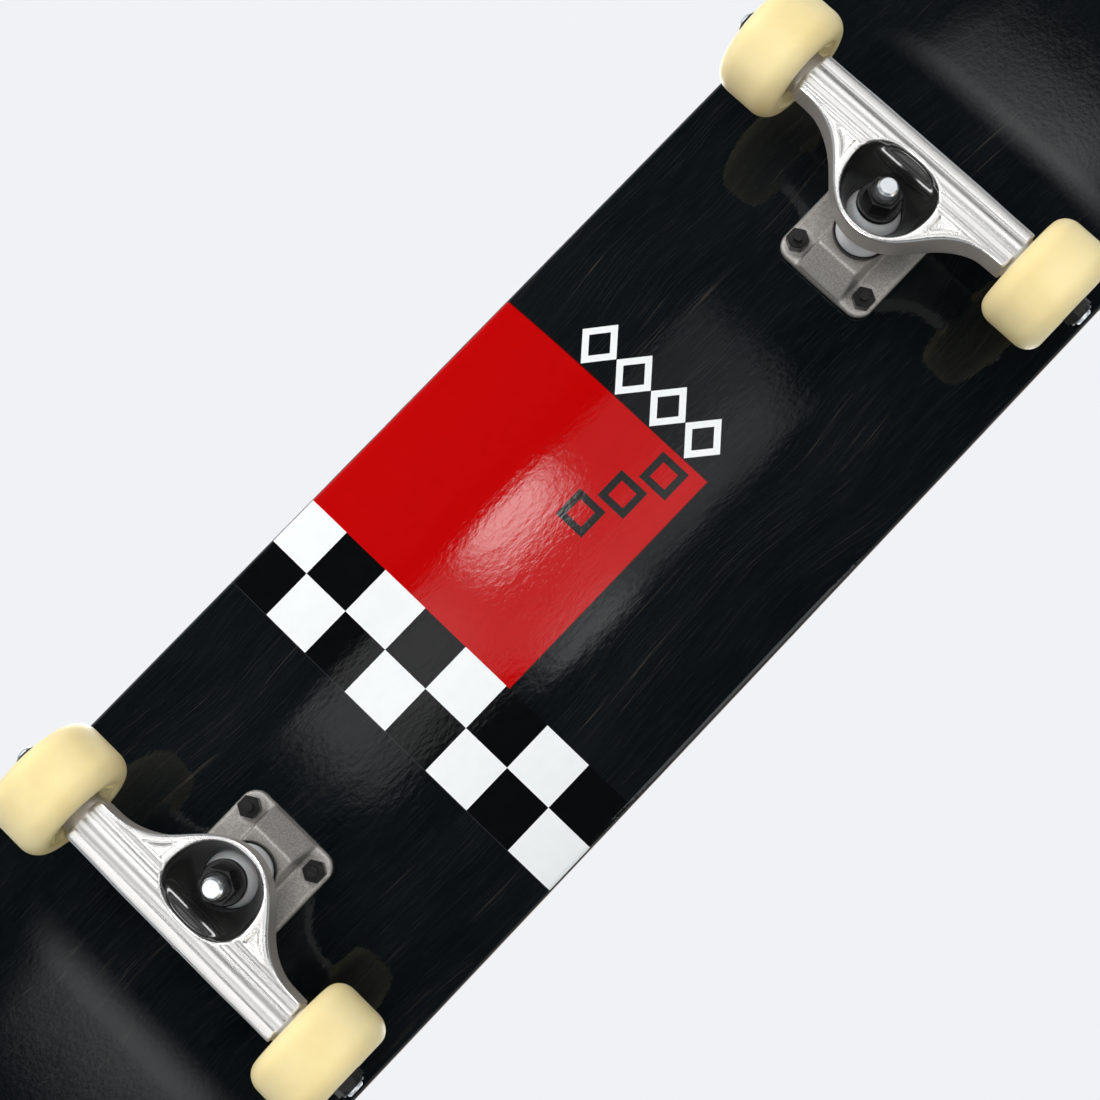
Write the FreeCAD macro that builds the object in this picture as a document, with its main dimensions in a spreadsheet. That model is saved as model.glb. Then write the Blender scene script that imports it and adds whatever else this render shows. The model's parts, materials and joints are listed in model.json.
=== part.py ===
import FreeCAD, Part
import math
import os
import Sketcher

# A complete street skateboard standing on its four wheels.
# +X is the nose, +Y the side, +Z up, and Z = 0 is the ground under the wheels.
# Everything is in millimetres.

DIMENSIONS = (
    # the deck
    ("deck_length", 812.8),
    ("deck_width", 206.4),
    ("deck_thickness", 11.1),
    ("deck_bottom_height", 81.0),
    ("flat_half_width", 32.0),
    ("concave_radius", 340.0),
    ("sweep_half_width", 108.0),
    ("kick_radius", 170.0),
    ("nose_kick_angle", 21.0),
    ("tail_kick_angle", 19.5),
    ("nose_flat", 236.5),
    ("tail_flat", 249.5),
    ("nose_flank_radius", 160.0),
    ("nose_tip_radius", 85.0),
    ("tail_flank_radius", 150.0),
    ("tail_tip_radius", 88.0),
    ("rail_rounding", 3.0),
    ("countersink_depth", 2.2),
    ("grip_thickness", 0.9),
    ("grip_inset", 3.2),
    # the bolt pattern that holds each truck
    ("front_truck_x", 201.6),
    ("rear_truck_x", 214.3),
    ("bolt_pitch_long", 53.975),
    ("bolt_pitch_wide", 41.275),
    ("bolt_diameter", 4.8),
    ("bolt_hole_diameter", 5.6),
    ("bolt_head_diameter", 9.4),
    ("bolt_length", 25.4),
    ("lock_nut_flats", 9.5),
    ("lock_nut_height", 5.8),
    ("socket_flats", 3.2),
    # the truck
    ("axle_offset", 18.0),
    ("axle_drop", 53.0),
    ("axle_diameter", 7.94),
    ("axle_length", 201.6),
    ("hanger_length", 131.0),
    ("collar_radius", 10.0),
    ("collar_length", 5.0),
    ("kingpin_lean", 10.0),
    ("kingpin_foot_x", 11.2),
    ("kingpin_diameter", 9.52),
    ("kingpin_length", 66.0),
    ("kingpin_flats", 14.3),
    ("seat_height", 17.0),
    ("cup_thickness", 1.2),
    ("bottom_cup_radius", 13.6),
    ("bottom_bushing_height", 14.0),
    ("bottom_bushing_radius", 12.6),
    ("ring_thickness", 7.0),
    ("ring_bore_radius", 7.0),
    ("top_bushing_height", 11.0),
    ("top_bushing_radius", 12.9),
    ("top_bushing_tip_radius", 8.6),
    ("top_cup_radius", 10.2),
    ("kingpin_nut_height", 9.6),
    ("pivot_x", 27.0),
    ("pivot_drop", 15.5),
    ("pivot_tip_radius", 5.0),
    ("pivot_cup_radius", 7.2),
    ("pivot_cup_wall", 1.9),
    ("baseplate_thickness", 5.0),
    ("baseplate_width", 54.0),
    ("baseplate_inboard", 36.0),
    ("baseplate_outboard", 39.5),
    ("baseplate_corner", 8.0),
    ("block_width", 25.0),
    # one wheel with its two bearings
    ("wheel_radius", 28.0),
    ("wheel_width", 32.0),
    ("tread_half_width", 9.5),
    ("side_radius", 21.5),
    ("lip_radius", 18.0),
    ("core_radius", 14.5),
    ("core_half_width", 12.3),
    ("core_bore_radius", 8.2),
    ("washer_thickness", 0.9),
    ("washer_radius", 6.0),
    ("bearing_radius", 11.0),
    ("bearing_bore_radius", 4.0),
    ("bearing_width", 7.0),
    ("spacer_length", 10.0),
    ("ball_radius", 1.984),
    ("ball_circle_radius", 7.5),
    ("axle_nut_flats", 12.7),
    ("axle_nut_height", 8.0),
)
VALUES = dict(DIMENSIONS)
BALLS_PER_BEARING = 7

document = FreeCAD.newDocument("Skateboard")
sheet = document.addObject("Spreadsheet::Sheet", "Dimensions")
for row, (alias, number) in enumerate(DIMENSIONS, start=1):
    sheet.set(f"A{row}", alias)
    sheet.set(f"B{row}", str(number))
    sheet.setAlias(f"B{row}", alias)
document.recompute()

exported = []


class Size:
    """A number together with the spreadsheet formula that gives it."""

    def __init__(self, value, formula):
        self.value = value
        self.formula = formula

    def combine(self, other, value, sign):
        return Size(value, f"({self.formula} {sign} {other.formula})")

    def __add__(self, other):
        other = as_size(other)
        return self.combine(other, self.value + other.value, "+")

    def __sub__(self, other):
        other = as_size(other)
        return self.combine(other, self.value - other.value, "-")

    def __mul__(self, other):
        other = as_size(other)
        return self.combine(other, self.value * other.value, "*")

    def __truediv__(self, other):
        other = as_size(other)
        return self.combine(other, self.value / other.value, "/")

    def __neg__(self):
        return Size(-self.value, f"(0 - {self.formula})")


def as_size(number):
    if isinstance(number, Size):
        return number
    return Size(float(number), f"({float(number)})")


def dim(alias):
    return Size(VALUES[alias], f"Dimensions.{alias}")


def vector(x, y, z):
    return FreeCAD.Vector(x, y, z)


def moved(x, y, z):
    return FreeCAD.Placement(vector(x, y, z), FreeCAD.Rotation())


# ---- sketches and features -------------------------------------------------

def new_body(label, placement):
    body = document.addObject("PartDesign::Body", label)
    body.Label = label
    body.AllowCompound = True
    body.Placement = placement
    exported.append(body)
    return body


def new_sketch(body, plane, name, height=None):
    """A sketch on one of the body's own planes, raised by height along its normal."""
    sketch = body.newObject("Sketcher::SketchObject", name)
    origin_plane = [f for f in body.Origin.OriginFeatures if f.Role == plane][0]
    sketch.AttachmentSupport = [(origin_plane, "")]
    sketch.MapMode = "FlatFace"
    if height is not None:
        height = as_size(height)
        sketch.AttachmentOffset = moved(0, 0, height.value)
        sketch.setExpression("AttachmentOffset.Base.z", height.formula)
    return sketch


def bind(sketch, kind, first, value):
    index = sketch.addConstraint(Sketcher.Constraint(kind, *first, value.value))
    sketch.setExpression(f"Constraints[{index}]", value.formula)


def pin(sketch, geometry, vertex, x=None, y=None):
    """Holds one point of a sketch at x and y from the origin."""
    for kind, axis, number in (("DistanceX", -2, x), ("DistanceY", -1, y)):
        if number is None:
            continue
        number = as_size(number)
        if abs(number.value) < 1e-9:
            sketch.addConstraint(Sketcher.Constraint("PointOnObject", geometry, vertex, axis))
        else:
            bind(sketch, kind, (-1, 1, geometry, vertex), number)


def polygon(sketch, points):
    points = [(as_size(x), as_size(y)) for x, y in points]
    corners = [vector(x.value, y.value, 0) for x, y in points]
    first = sketch.GeometryCount
    for index, corner in enumerate(corners):
        following = corners[(index + 1) % len(corners)]
        sketch.addGeometry(Part.LineSegment(corner, following), False)
    for index, (x, y) in enumerate(points):
        before = first + (index - 1) % len(corners)
        sketch.addConstraint(Sketcher.Constraint("Coincident", before, 2, first + index, 1))
        pin(sketch, first + index, 1, x, y)


def circle(sketch, x, y, radius):
    x, y, radius = as_size(x), as_size(y), as_size(radius)
    shape = Part.Circle(vector(x.value, y.value, 0), vector(0, 0, 1), radius.value)
    index = sketch.addGeometry(shape, False)
    pin(sketch, index, 3, x, y)
    bind(sketch, "Radius", (index,), radius)


def hexagon(flats, x=0.0, y=0.0):
    """The corners of a hexagon, given its size across flats."""
    x, y = as_size(x), as_size(y)
    corners = []
    for step in range(6):
        angle = math.radians(60 * step)
        across = flats * (0.5 / math.cos(math.radians(30)))
        corners.append((x + across * round(math.cos(angle), 9), y + across * round(math.sin(angle), 9)))
    return corners


def solid(body, kind, name, profile):
    feature = body.newObject(f"PartDesign::{kind}", name)
    feature.Profile = profile
    body.Tip = feature
    return feature


def pad(body, name, profile, length, symmetric=False):
    feature = solid(body, "Pad", name, profile)
    if symmetric:
        feature.SideType = "Symmetric"
    feature.setExpression("Length", as_size(length).formula)
    return feature


def pocket_through(body, name, profile):
    feature = solid(body, "Pocket", name, profile)
    feature.SideType = "Symmetric"
    feature.Type = "ThroughAll"
    return feature


def revolve(body, name, profile):
    feature = solid(body, "Revolution", name, profile)
    feature.ReferenceAxis = (profile, ["V_Axis"])
    feature.Angle = 360
    return feature


def turned_body(label, placement, *outlines):
    """A body turned about its own Z axis from outlines of (radius, height) points."""
    body = new_body(label, placement)
    profile = new_sketch(body, "XZ_Plane", label + "_profile")
    for outline in outlines:
        polygon(profile, outline)
    revolve(body, label + "_turned", profile)
    return body


def ring_outline(inner, outer, low, high):
    return ((inner, low), (outer, low), (outer, high), (inner, high))


def primitive(body, kind, name, placement, **sizes):
    """Adds or cuts a cylinder, cone or ball that stands at placement."""
    feature = body.newObject(f"PartDesign::{kind}", name)
    for property_name, number in sizes.items():
        feature.setExpression(property_name, as_size(number).formula)
    feature.Placement = placement
    body.Tip = feature
    return feature


def polar_copies(body, name, originals, count):
    pattern = body.newObject("PartDesign::PolarPattern", name)
    pattern.Originals = originals
    z_axis = [f for f in body.Origin.OriginFeatures if f.Role == "Z_Axis"][0]
    pattern.Axis = (z_axis, [""])
    pattern.Angle = 360
    pattern.Occurrences = count
    body.Tip = pattern
    return pattern


def soften(body, name, radius, chosen, kind="Fillet"):
    """Rounds or bevels the edges for which chosen(edge) is true."""
    document.recompute()
    edges = [f"Edge{i}" for i, e in enumerate(body.Tip.Shape.Edges, start=1) if chosen(e)]
    if not edges:
        raise ValueError(f"no edges to soften in {name}")
    base = body.Tip
    feature = body.newObject(f"PartDesign::{kind}", name)
    feature.Base = (base, edges)
    size = "Radius" if kind == "Fillet" else "Size"
    feature.setExpression(size, as_size(radius).formula)
    body.Tip = feature
    return feature


def is_ring(edge, radius, height=None):
    """True for a whole circle of this radius about Z, at this height."""
    if not isinstance(edge.Curve, Part.Circle):
        return False
    if abs(edge.Curve.Radius - radius) > 0.01:
        return False
    return height is None or abs(edge.Curve.Center.z - height) < 0.01


# ---- the deck and its grip tape --------------------------------------------

def curved_section(sketch, low, high, half_width):
    """A board's cross-section: flat in the middle, arcs up to both rails."""
    flat = dim("flat_half_width")
    centre = dim("concave_radius")
    down = math.radians(-90)

    def arc(side, height):
        radius = centre.value - height.value
        spread = math.asin((half_width.value - flat.value) / radius)
        ends = sorted((down, down + side * spread))
        middle = vector(side * flat.value, centre.value, 0)
        ring = Part.Circle(middle, vector(0, 0, 1), radius)
        return sketch.addGeometry(Part.ArcOfCircle(ring, *ends), False)

    def corner(side, height):
        radius = centre.value - height.value
        rise = centre.value - math.sqrt(radius ** 2 - (half_width.value - flat.value) ** 2)
        return vector(side * half_width.value, rise, 0)

    def line(start, end):
        return sketch.addGeometry(Part.LineSegment(start, end), False)

    def join(*ends):
        sketch.addConstraint(Sketcher.Constraint("Coincident", *ends))

    bottom = line(vector(-flat.value, low.value, 0), vector(flat.value, low.value, 0))
    top = line(vector(flat.value, high.value, 0), vector(-flat.value, high.value, 0))
    for index, vertex, x, y in ((bottom, 1, -flat, low), (bottom, 2, flat, low),
                                (top, 1, flat, high), (top, 2, -flat, high)):
        pin(sketch, index, vertex, x, y)
    for side, low_join, high_join in ((1, 2, 1), (-1, 1, 2)):
        inner, outer = (1, 2) if side > 0 else (2, 1)
        under = arc(side, low)
        over = arc(side, high)
        rail = line(corner(side, low), corner(side, high))
        join(bottom, low_join, under, inner)
        join(top, high_join, over, inner)
        join(under, outer, rail, 1)
        join(over, outer, rail, 2)
        for index in (under, over):
            pin(sketch, index, 3, flat * side, centre)
            pin(sketch, index, outer, half_width * side)


def kick_path(sketch, side, flat, angle, reach):
    """The line that the board follows from its middle to one end."""
    radius = dim("kick_radius")
    down = math.radians(-90)
    bend = math.radians(angle.value)
    ring = Part.Circle(vector(side * flat.value, radius.value, 0), vector(0, 0, 1), radius.value)
    ends = sorted((down, down + side * bend))
    lift = vector(side * (flat.value + radius.value * math.sin(bend)),
                  radius.value * (1 - math.cos(bend)), 0)
    run = reach.value - abs(lift.x)
    tip = lift + vector(side * run, run * math.tan(bend), 0)
    near, far = (1, 2) if side > 0 else (2, 1)
    start = sketch.addGeometry(
        Part.LineSegment(vector(0, 0, 0), vector(side * flat.value, 0, 0)), False)
    curve = sketch.addGeometry(Part.ArcOfCircle(ring, *ends), False)
    end = sketch.addGeometry(Part.LineSegment(lift, tip), False)
    sketch.addConstraint(Sketcher.Constraint("Coincident", start, 1, -1, 1))
    pin(sketch, start, 2, flat * side, 0)
    sketch.addConstraint(Sketcher.Constraint("Tangent", start, 2, curve, near))
    sketch.addConstraint(Sketcher.Constraint("Tangent", curve, far, end, 1))
    bind(sketch, "Radius", (curve,), radius)
    pin(sketch, end, 2, reach * side)
    degrees = angle if side > 0 else as_size(180) - angle
    index = sketch.addConstraint(Sketcher.Constraint("Angle", end, math.radians(degrees.value)))
    sketch.setExpression(f"Constraints[{index}]", f"{degrees.formula} * 1deg")


def tip_arcs(sketch, side, inset, flank, tip):
    """Two flank arcs and a tip arc that round off one end of the board."""
    half = (dim("deck_width") / 2 - inset).value
    end = (dim("deck_length") / 2 - inset).value
    flank_radius, tip_radius = (flank - inset).value, (tip - inset).value
    tip_centre = end - tip_radius
    gap = flank_radius - tip_radius
    drop = half - flank_radius
    flank_centre = tip_centre - math.sqrt(gap ** 2 - drop ** 2)
    lean = math.atan2(-drop, tip_centre - flank_centre)
    arcs = []
    for about, middle_y, radius, start, stop in (
            (flank_centre, -drop, flank_radius, -90, -math.degrees(lean)),
            (tip_centre, 0, tip_radius, -math.degrees(lean), math.degrees(lean)),
            (flank_centre, drop, flank_radius, math.degrees(lean), 90)):
        if side < 0:
            about, middle_y = -about, -middle_y
            start, stop = start + 180, stop + 180
        ring = Part.Circle(vector(about, middle_y, 0), vector(0, 0, 1), radius)
        arc = Part.ArcOfCircle(ring, math.radians(start), math.radians(stop))
        arcs.append(sketch.addGeometry(arc, False))
    return arcs


def board_outline(sketch, inset):
    """The plan shape: straight rails, and rounded nose and tail."""
    inset = as_size(inset)
    half = dim("deck_width") / 2 - inset
    end = dim("deck_length") / 2 - inset
    nose = tip_arcs(sketch, 1, inset, dim("nose_flank_radius"), dim("nose_tip_radius"))
    tail = tip_arcs(sketch, -1, inset, dim("tail_flank_radius"), dim("tail_tip_radius"))

    def arc_end(index, last):
        arc = sketch.Geometry[index]
        return arc.EndPoint if last else arc.StartPoint

    left = sketch.addGeometry(
        Part.LineSegment(arc_end(nose[2], True), arc_end(tail[0], False)), False)
    right = sketch.addGeometry(
        Part.LineSegment(arc_end(tail[2], True), arc_end(nose[0], False)), False)
    chain = [*nose, left, *tail, right]
    for index, piece in enumerate(chain):
        following = chain[(index + 1) % len(chain)]
        sketch.addConstraint(Sketcher.Constraint("Tangent", piece, 2, following, 1))
    sketch.addConstraint(Sketcher.Constraint("Horizontal", left))
    sketch.addConstraint(Sketcher.Constraint("Horizontal", right))
    pin(sketch, left, 1, None, half)
    pin(sketch, right, 1, None, -half)
    for arcs, side, flank, tip in (
            (nose, 1, dim("nose_flank_radius"), dim("nose_tip_radius")),
            (tail, -1, dim("tail_flank_radius"), dim("tail_tip_radius"))):
        bind(sketch, "Radius", (arcs[0],), flank - inset)
        bind(sketch, "Radius", (arcs[1],), tip - inset)
        pin(sketch, arcs[1], 3, (end - (tip - inset)) * side, 0)


def bolt_positions():
    """The eight bolt centres on the deck, in plan."""
    long_half = dim("bolt_pitch_long") / 2
    wide_half = dim("bolt_pitch_wide") / 2
    positions = []
    for centre in (dim("front_truck_x"), -dim("rear_truck_x")):
        for x in (centre - long_half, centre + long_half):
            for y in (-wide_half, wide_half):
                positions.append((x, y))
    return positions


def curved_board(label, low, high, inset, hole_radius):
    """A sheet of the board's shape between two heights above the deck's underside."""
    body = new_body(label, moved(0, 0, VALUES["deck_bottom_height"]))
    section = new_sketch(body, "YZ_Plane", label + "_section")
    curved_section(section, as_size(low), as_size(high), dim("sweep_half_width"))
    reach = dim("deck_length") / 2 + 8
    for name, side, flat, angle in (("nose", 1, dim("nose_flat"), dim("nose_kick_angle")),
                                    ("tail", -1, dim("tail_flat"), dim("tail_kick_angle"))):
        path = new_sketch(body, "XZ_Plane", f"{label}_{name}_path")
        kick_path(path, side, flat, angle, reach)
        document.recompute()
        swept = solid(body, "AdditivePipe", f"{label}_{name}", section)
        swept.Spine = (path, [f"Edge{n}" for n in (1, 2, 3)])
    trim = new_sketch(body, "XY_Plane", label + "_outline")
    board_outline(trim, inset)
    far = dim("deck_length") / 2 + 60
    side = dim("deck_width") / 2 + 60
    polygon(trim, ((-far, -side), (far, -side), (far, side), (-far, side)))
    pocket_through(body, label + "_trim", trim)
    holes = new_sketch(body, "XY_Plane", label + "_holes")
    for x, y in bolt_positions():
        circle(holes, x, y, hole_radius)
    pocket_through(body, label + "_drilled", holes)
    document.recompute()
    return body


def on_outline(shape):
    """A test for the edges where the upright outline meets the two curved skins."""
    outline = []
    for face in shape.Faces:
        low_u, high_u, low_v, high_v = face.ParameterRange
        normal = face.normalAt((low_u + high_u) / 2, (low_v + high_v) / 2)
        if abs(normal.z) < 1e-3 and face.BoundBox.DiagonalLength > 20:
            outline += face.Edges

    def chosen(edge):
        first, last = edge.Vertexes[0], edge.Vertexes[-1]
        upright = math.hypot(first.X - last.X, first.Y - last.Y) < 0.01
        return not upright and any(edge.isSame(other) for other in outline)

    return chosen


deck = curved_board("deck", 0, dim("deck_thickness"), 0, dim("bolt_hole_diameter") / 2)
soften(deck, "deck_countersinks", dim("countersink_depth"),
       lambda edge: is_ring(edge, VALUES["bolt_hole_diameter"] / 2,
                            VALUES["deck_thickness"]),
       kind="Chamfer")
document.recompute()
soften(deck, "deck_rails", dim("rail_rounding"), on_outline(deck.Tip.Shape))

grip_top = dim("deck_thickness") + dim("grip_thickness")
curved_board("grip_tape", dim("deck_thickness"), grip_top, dim("grip_inset"),
             dim("bolt_head_diameter") / 2 + 0.5)


# ---- one truck --------------------------------------------------------------
# Its own frame has the bolt pattern's centre on the deck's underside as origin,
# +X away from the board's middle and +Z up into the deck.

lean = math.radians(VALUES["kingpin_lean"])
lean_sine = Size(math.sin(lean), "sin(Dimensions.kingpin_lean * 1deg)")
lean_cosine = Size(math.cos(lean), "cos(Dimensions.kingpin_lean * 1deg)")

# distances along the kingpin, from the deck's underside towards the road
cup_top = dim("seat_height") + dim("cup_thickness")
ring_bottom = cup_top + dim("bottom_bushing_height")
ring_middle = ring_bottom + dim("ring_thickness") / 2
ring_top = ring_bottom + dim("ring_thickness")
bushing_top = ring_top + dim("top_bushing_height")
nut_bottom = bushing_top + dim("cup_thickness")
head_top = as_size(7.5)


def on_kingpin(along, across=0.0):
    """A point in the truck's X and Z, along the kingpin and across it towards the axle."""
    along, across = as_size(along), as_size(across)
    x = along * lean_sine + across * lean_cosine - dim("kingpin_foot_x")
    z = across * lean_sine - along * lean_cosine
    return (x, z)


kingpin_frame = FreeCAD.Placement(
    vector(-VALUES["kingpin_foot_x"], 0, 0),
    FreeCAD.Rotation(vector(0, 1, 0), 180 - VALUES["kingpin_lean"]))

# the hanger steers about the line from its pivot tip to the middle of its ring
ring_x, ring_z = on_kingpin(ring_middle)
pivot_x, pivot_z = VALUES["pivot_x"], -VALUES["pivot_drop"]
steering_angle = math.degrees(math.atan2(ring_x.value - pivot_x, ring_z.value - pivot_z))
steering_frame = FreeCAD.Placement(
    vector(pivot_x, 0, pivot_z), FreeCAD.Rotation(vector(0, 1, 0), steering_angle))

# the axle's own frame has its Z axis along the truck's +Y
axle_frame = FreeCAD.Placement(
    vector(VALUES["axle_offset"], 0, -VALUES["axle_drop"]),
    FreeCAD.Rotation(vector(1, 0, 0), -90))

# distances along the axle from the truck's middle
hanger_end = dim("hanger_length") / 2
inner_bearing = hanger_end + dim("washer_thickness")
spacer_start = inner_bearing + dim("bearing_width")
spacer_end = spacer_start + dim("spacer_length")
outer_end = spacer_end + dim("bearing_width")
nut_start = outer_end + dim("washer_thickness")
wheel_middle = (inner_bearing + outer_end) / 2


def make_baseplate(end, place):
    body = new_body(f"{end}_baseplate", place)
    width = dim("baseplate_width") / 2
    inboard, outboard = -dim("baseplate_inboard"), dim("baseplate_outboard")
    thickness = dim("baseplate_thickness")
    outline = new_sketch(body, "XY_Plane", f"{end}_plate_outline", -thickness)
    polygon(outline, ((inboard, -width), (outboard, -width), (outboard, width), (inboard, width)))
    pad(body, f"{end}_plate", outline, thickness)
    soften(body, f"{end}_plate_corners", dim("baseplate_corner"),
           lambda edge: edge.BoundBox.ZLength > 4)
    side = new_sketch(body, "XZ_Plane", f"{end}_block_side")
    inner_x, inner_z = on_kingpin(dim("seat_height"), -14)
    outer_x, outer_z = on_kingpin(dim("seat_height"), 14)
    rim = inboard + 0.8
    polygon(side, ((rim, -4), (rim, -7), (inner_x, inner_z), (outer_x, outer_z), (15, -4)))
    pad(body, f"{end}_block", side, dim("block_width"), symmetric=True)
    support = new_sketch(body, "XZ_Plane", f"{end}_boss_side")
    polygon(support, ((pivot_x - 9, -4), (pivot_x - 3, -15), (pivot_x + 7, -12),
                      (outboard - 1, -4)))
    pad(body, f"{end}_boss_support", support, 18, symmetric=True)
    back = -dim("pivot_cup_radius") + 0.5
    depth, mouth = as_size(1.5), as_size(1.5)
    primitive(body, "AdditiveCylinder", f"{end}_boss",
              steering_frame * moved(0, 0, back.value - depth.value),
              Radius=dim("pivot_cup_radius") + 2, Height=depth - back + mouth)
    primitive(body, "SubtractiveCylinder", f"{end}_pivot_bore",
              steering_frame * moved(0, 0, back.value),
              Radius=dim("pivot_cup_radius"), Height=20)
    primitive(body, "SubtractiveCylinder", f"{end}_pivot_flange_room",
              steering_frame * moved(0, 0, mouth.value),
              Radius=dim("pivot_cup_radius") + 1.6, Height=18)
    primitive(body, "SubtractiveCylinder", f"{end}_head_recess",
              kingpin_frame * moved(0, 0, -8),
              Radius=dim("kingpin_flats") * 0.61, Height=head_top + 8)
    primitive(body, "SubtractiveCylinder", f"{end}_kingpin_bore",
              kingpin_frame, Radius=dim("kingpin_diameter") / 2 + 0.1, Height=30)
    holes = new_sketch(body, "XY_Plane", f"{end}_plate_holes")
    for x, y in four_bolts():
        circle(holes, x, y, dim("bolt_hole_diameter") / 2)
    pocket_through(body, f"{end}_plate_drilled", holes)


def four_bolts():
    long_half = dim("bolt_pitch_long") / 2
    wide_half = dim("bolt_pitch_wide") / 2
    return [(x, y) for x in (-long_half, long_half) for y in (-wide_half, wide_half)]


def make_mounting_hardware(end, place):
    thickness = dim("deck_thickness")
    radius = dim("bolt_diameter") / 2
    head_radius = dim("bolt_head_diameter") / 2
    bolts = new_body(f"{end}_mounting_bolts", place)
    shank = new_sketch(bolts, "XY_Plane", f"{end}_bolt_shanks", thickness - dim("bolt_length"))
    head = new_sketch(bolts, "XY_Plane", f"{end}_bolt_heads", thickness - 2.3)
    socket = new_sketch(bolts, "XY_Plane", f"{end}_bolt_sockets", thickness)
    for x, y in four_bolts():
        circle(shank, x, y, radius)
        circle(head, x, y, head_radius)
        polygon(socket, hexagon(dim("socket_flats"), x, y))
    pad(bolts, f"{end}_shanks", shank, dim("bolt_length"))
    pad(bolts, f"{end}_heads", head, 2.3)
    soften(bolts, f"{end}_head_cones", head_radius - radius - 0.1,
           lambda edge: is_ring(edge, head_radius.value,
                                thickness.value - 2.3), kind="Chamfer")
    sockets = solid(bolts, "Pocket", f"{end}_sockets", socket)
    sockets.setExpression("Length", as_size(1.5).formula)

    nuts = new_body(f"{end}_mounting_nuts", place)
    height = dim("lock_nut_height")
    seat = -dim("baseplate_thickness")
    flats = new_sketch(nuts, "XY_Plane", f"{end}_lock_nut_flats", seat - height + 1)
    collar = new_sketch(nuts, "XY_Plane", f"{end}_lock_nut_collars", seat - height)
    for x, y in four_bolts():
        polygon(flats, hexagon(dim("lock_nut_flats"), x, y))
        circle(flats, x, y, radius)
        circle(collar, x, y, dim("lock_nut_flats") / 2 - 0.5)
        circle(collar, x, y, radius)
    pad(nuts, f"{end}_lock_nuts", flats, height - 1)
    pad(nuts, f"{end}_lock_nut_collars_pad", collar, 1)


def make_kingpin_stack(end, place):
    stack = place * kingpin_frame
    radius = dim("kingpin_diameter") / 2
    clear = radius + 0.15

    kingpin = new_body(f"{end}_kingpin", stack)
    head = new_sketch(kingpin, "XY_Plane", f"{end}_kingpin_head", 1.8)
    polygon(head, hexagon(dim("kingpin_flats")))
    pad(kingpin, f"{end}_head", head, head_top - 1.8)
    shank = new_sketch(kingpin, "XZ_Plane", f"{end}_kingpin_shank")
    tip = dim("kingpin_length")
    polygon(shank, ((0, 4), (radius, 4), (radius, tip - 1.2), (radius - 1, tip), (0, tip)))
    revolve(kingpin, f"{end}_shank", shank)

    nut = new_body(f"{end}_kingpin_nut", stack)
    flats = new_sketch(nut, "XY_Plane", f"{end}_kingpin_nut_flats", nut_bottom)
    polygon(flats, hexagon(dim("kingpin_flats")))
    circle(flats, 0, 0, radius)
    pad(nut, f"{end}_nut", flats, dim("kingpin_nut_height") - 1.6)
    collar = new_sketch(nut, "XZ_Plane", f"{end}_kingpin_nut_collar")
    top = nut_bottom + dim("kingpin_nut_height")
    polygon(collar, ((radius, top - 2), (6.5, top - 2), (6.5, top - 0.6), (5.9, top), (radius, top)))
    revolve(nut, f"{end}_nut_collar", collar)

    seat = dim("seat_height")
    rim = dim("bottom_cup_radius")
    turned_body(f"{end}_bottom_cup", stack,
                ((clear, seat), (rim - 1.2, seat), (rim, seat + 1.4), (rim, cup_top + 2),
                 (rim - 0.8, cup_top + 2), (rim - 0.8, cup_top), (clear, cup_top)))
    wide = dim("bottom_bushing_radius")
    turned_body(f"{end}_bottom_bushing", stack,
                ((clear, cup_top), (wide - 0.4, cup_top), (wide, cup_top + 2.5),
                 (wide, ring_bottom - 2.5), (wide - 0.4, ring_bottom), (clear, ring_bottom)))
    wide = dim("top_bushing_radius")
    tip = dim("top_bushing_tip_radius")
    turned_body(f"{end}_top_bushing", stack,
                ((clear, ring_top), (wide, ring_top), (wide, ring_top + 2.4),
                 (tip + 0.4, bushing_top - 1.2), (tip, bushing_top),
                 (clear, bushing_top)))
    rim = dim("top_cup_radius")
    turned_body(f"{end}_top_cup", stack,
                ((clear, bushing_top), (rim - 0.8, bushing_top), (rim - 0.8, bushing_top - 1.6),
                 (rim, bushing_top - 1.6), (rim, nut_bottom - 0.4), (rim - 0.6, nut_bottom),
                 (clear, nut_bottom)))

    outer = dim("pivot_cup_radius")
    inner = outer - dim("pivot_cup_wall")
    back = -outer + 0.5
    turned_body(f"{end}_pivot_cup", place * steering_frame,
                ((0, back), (outer, back), (outer, 1.5), (outer + 1.2, 1.5), (outer + 1.2, 2.6),
                 (inner, 2.6), (inner, back + 1.6), (0, back + 1.6)))


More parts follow.
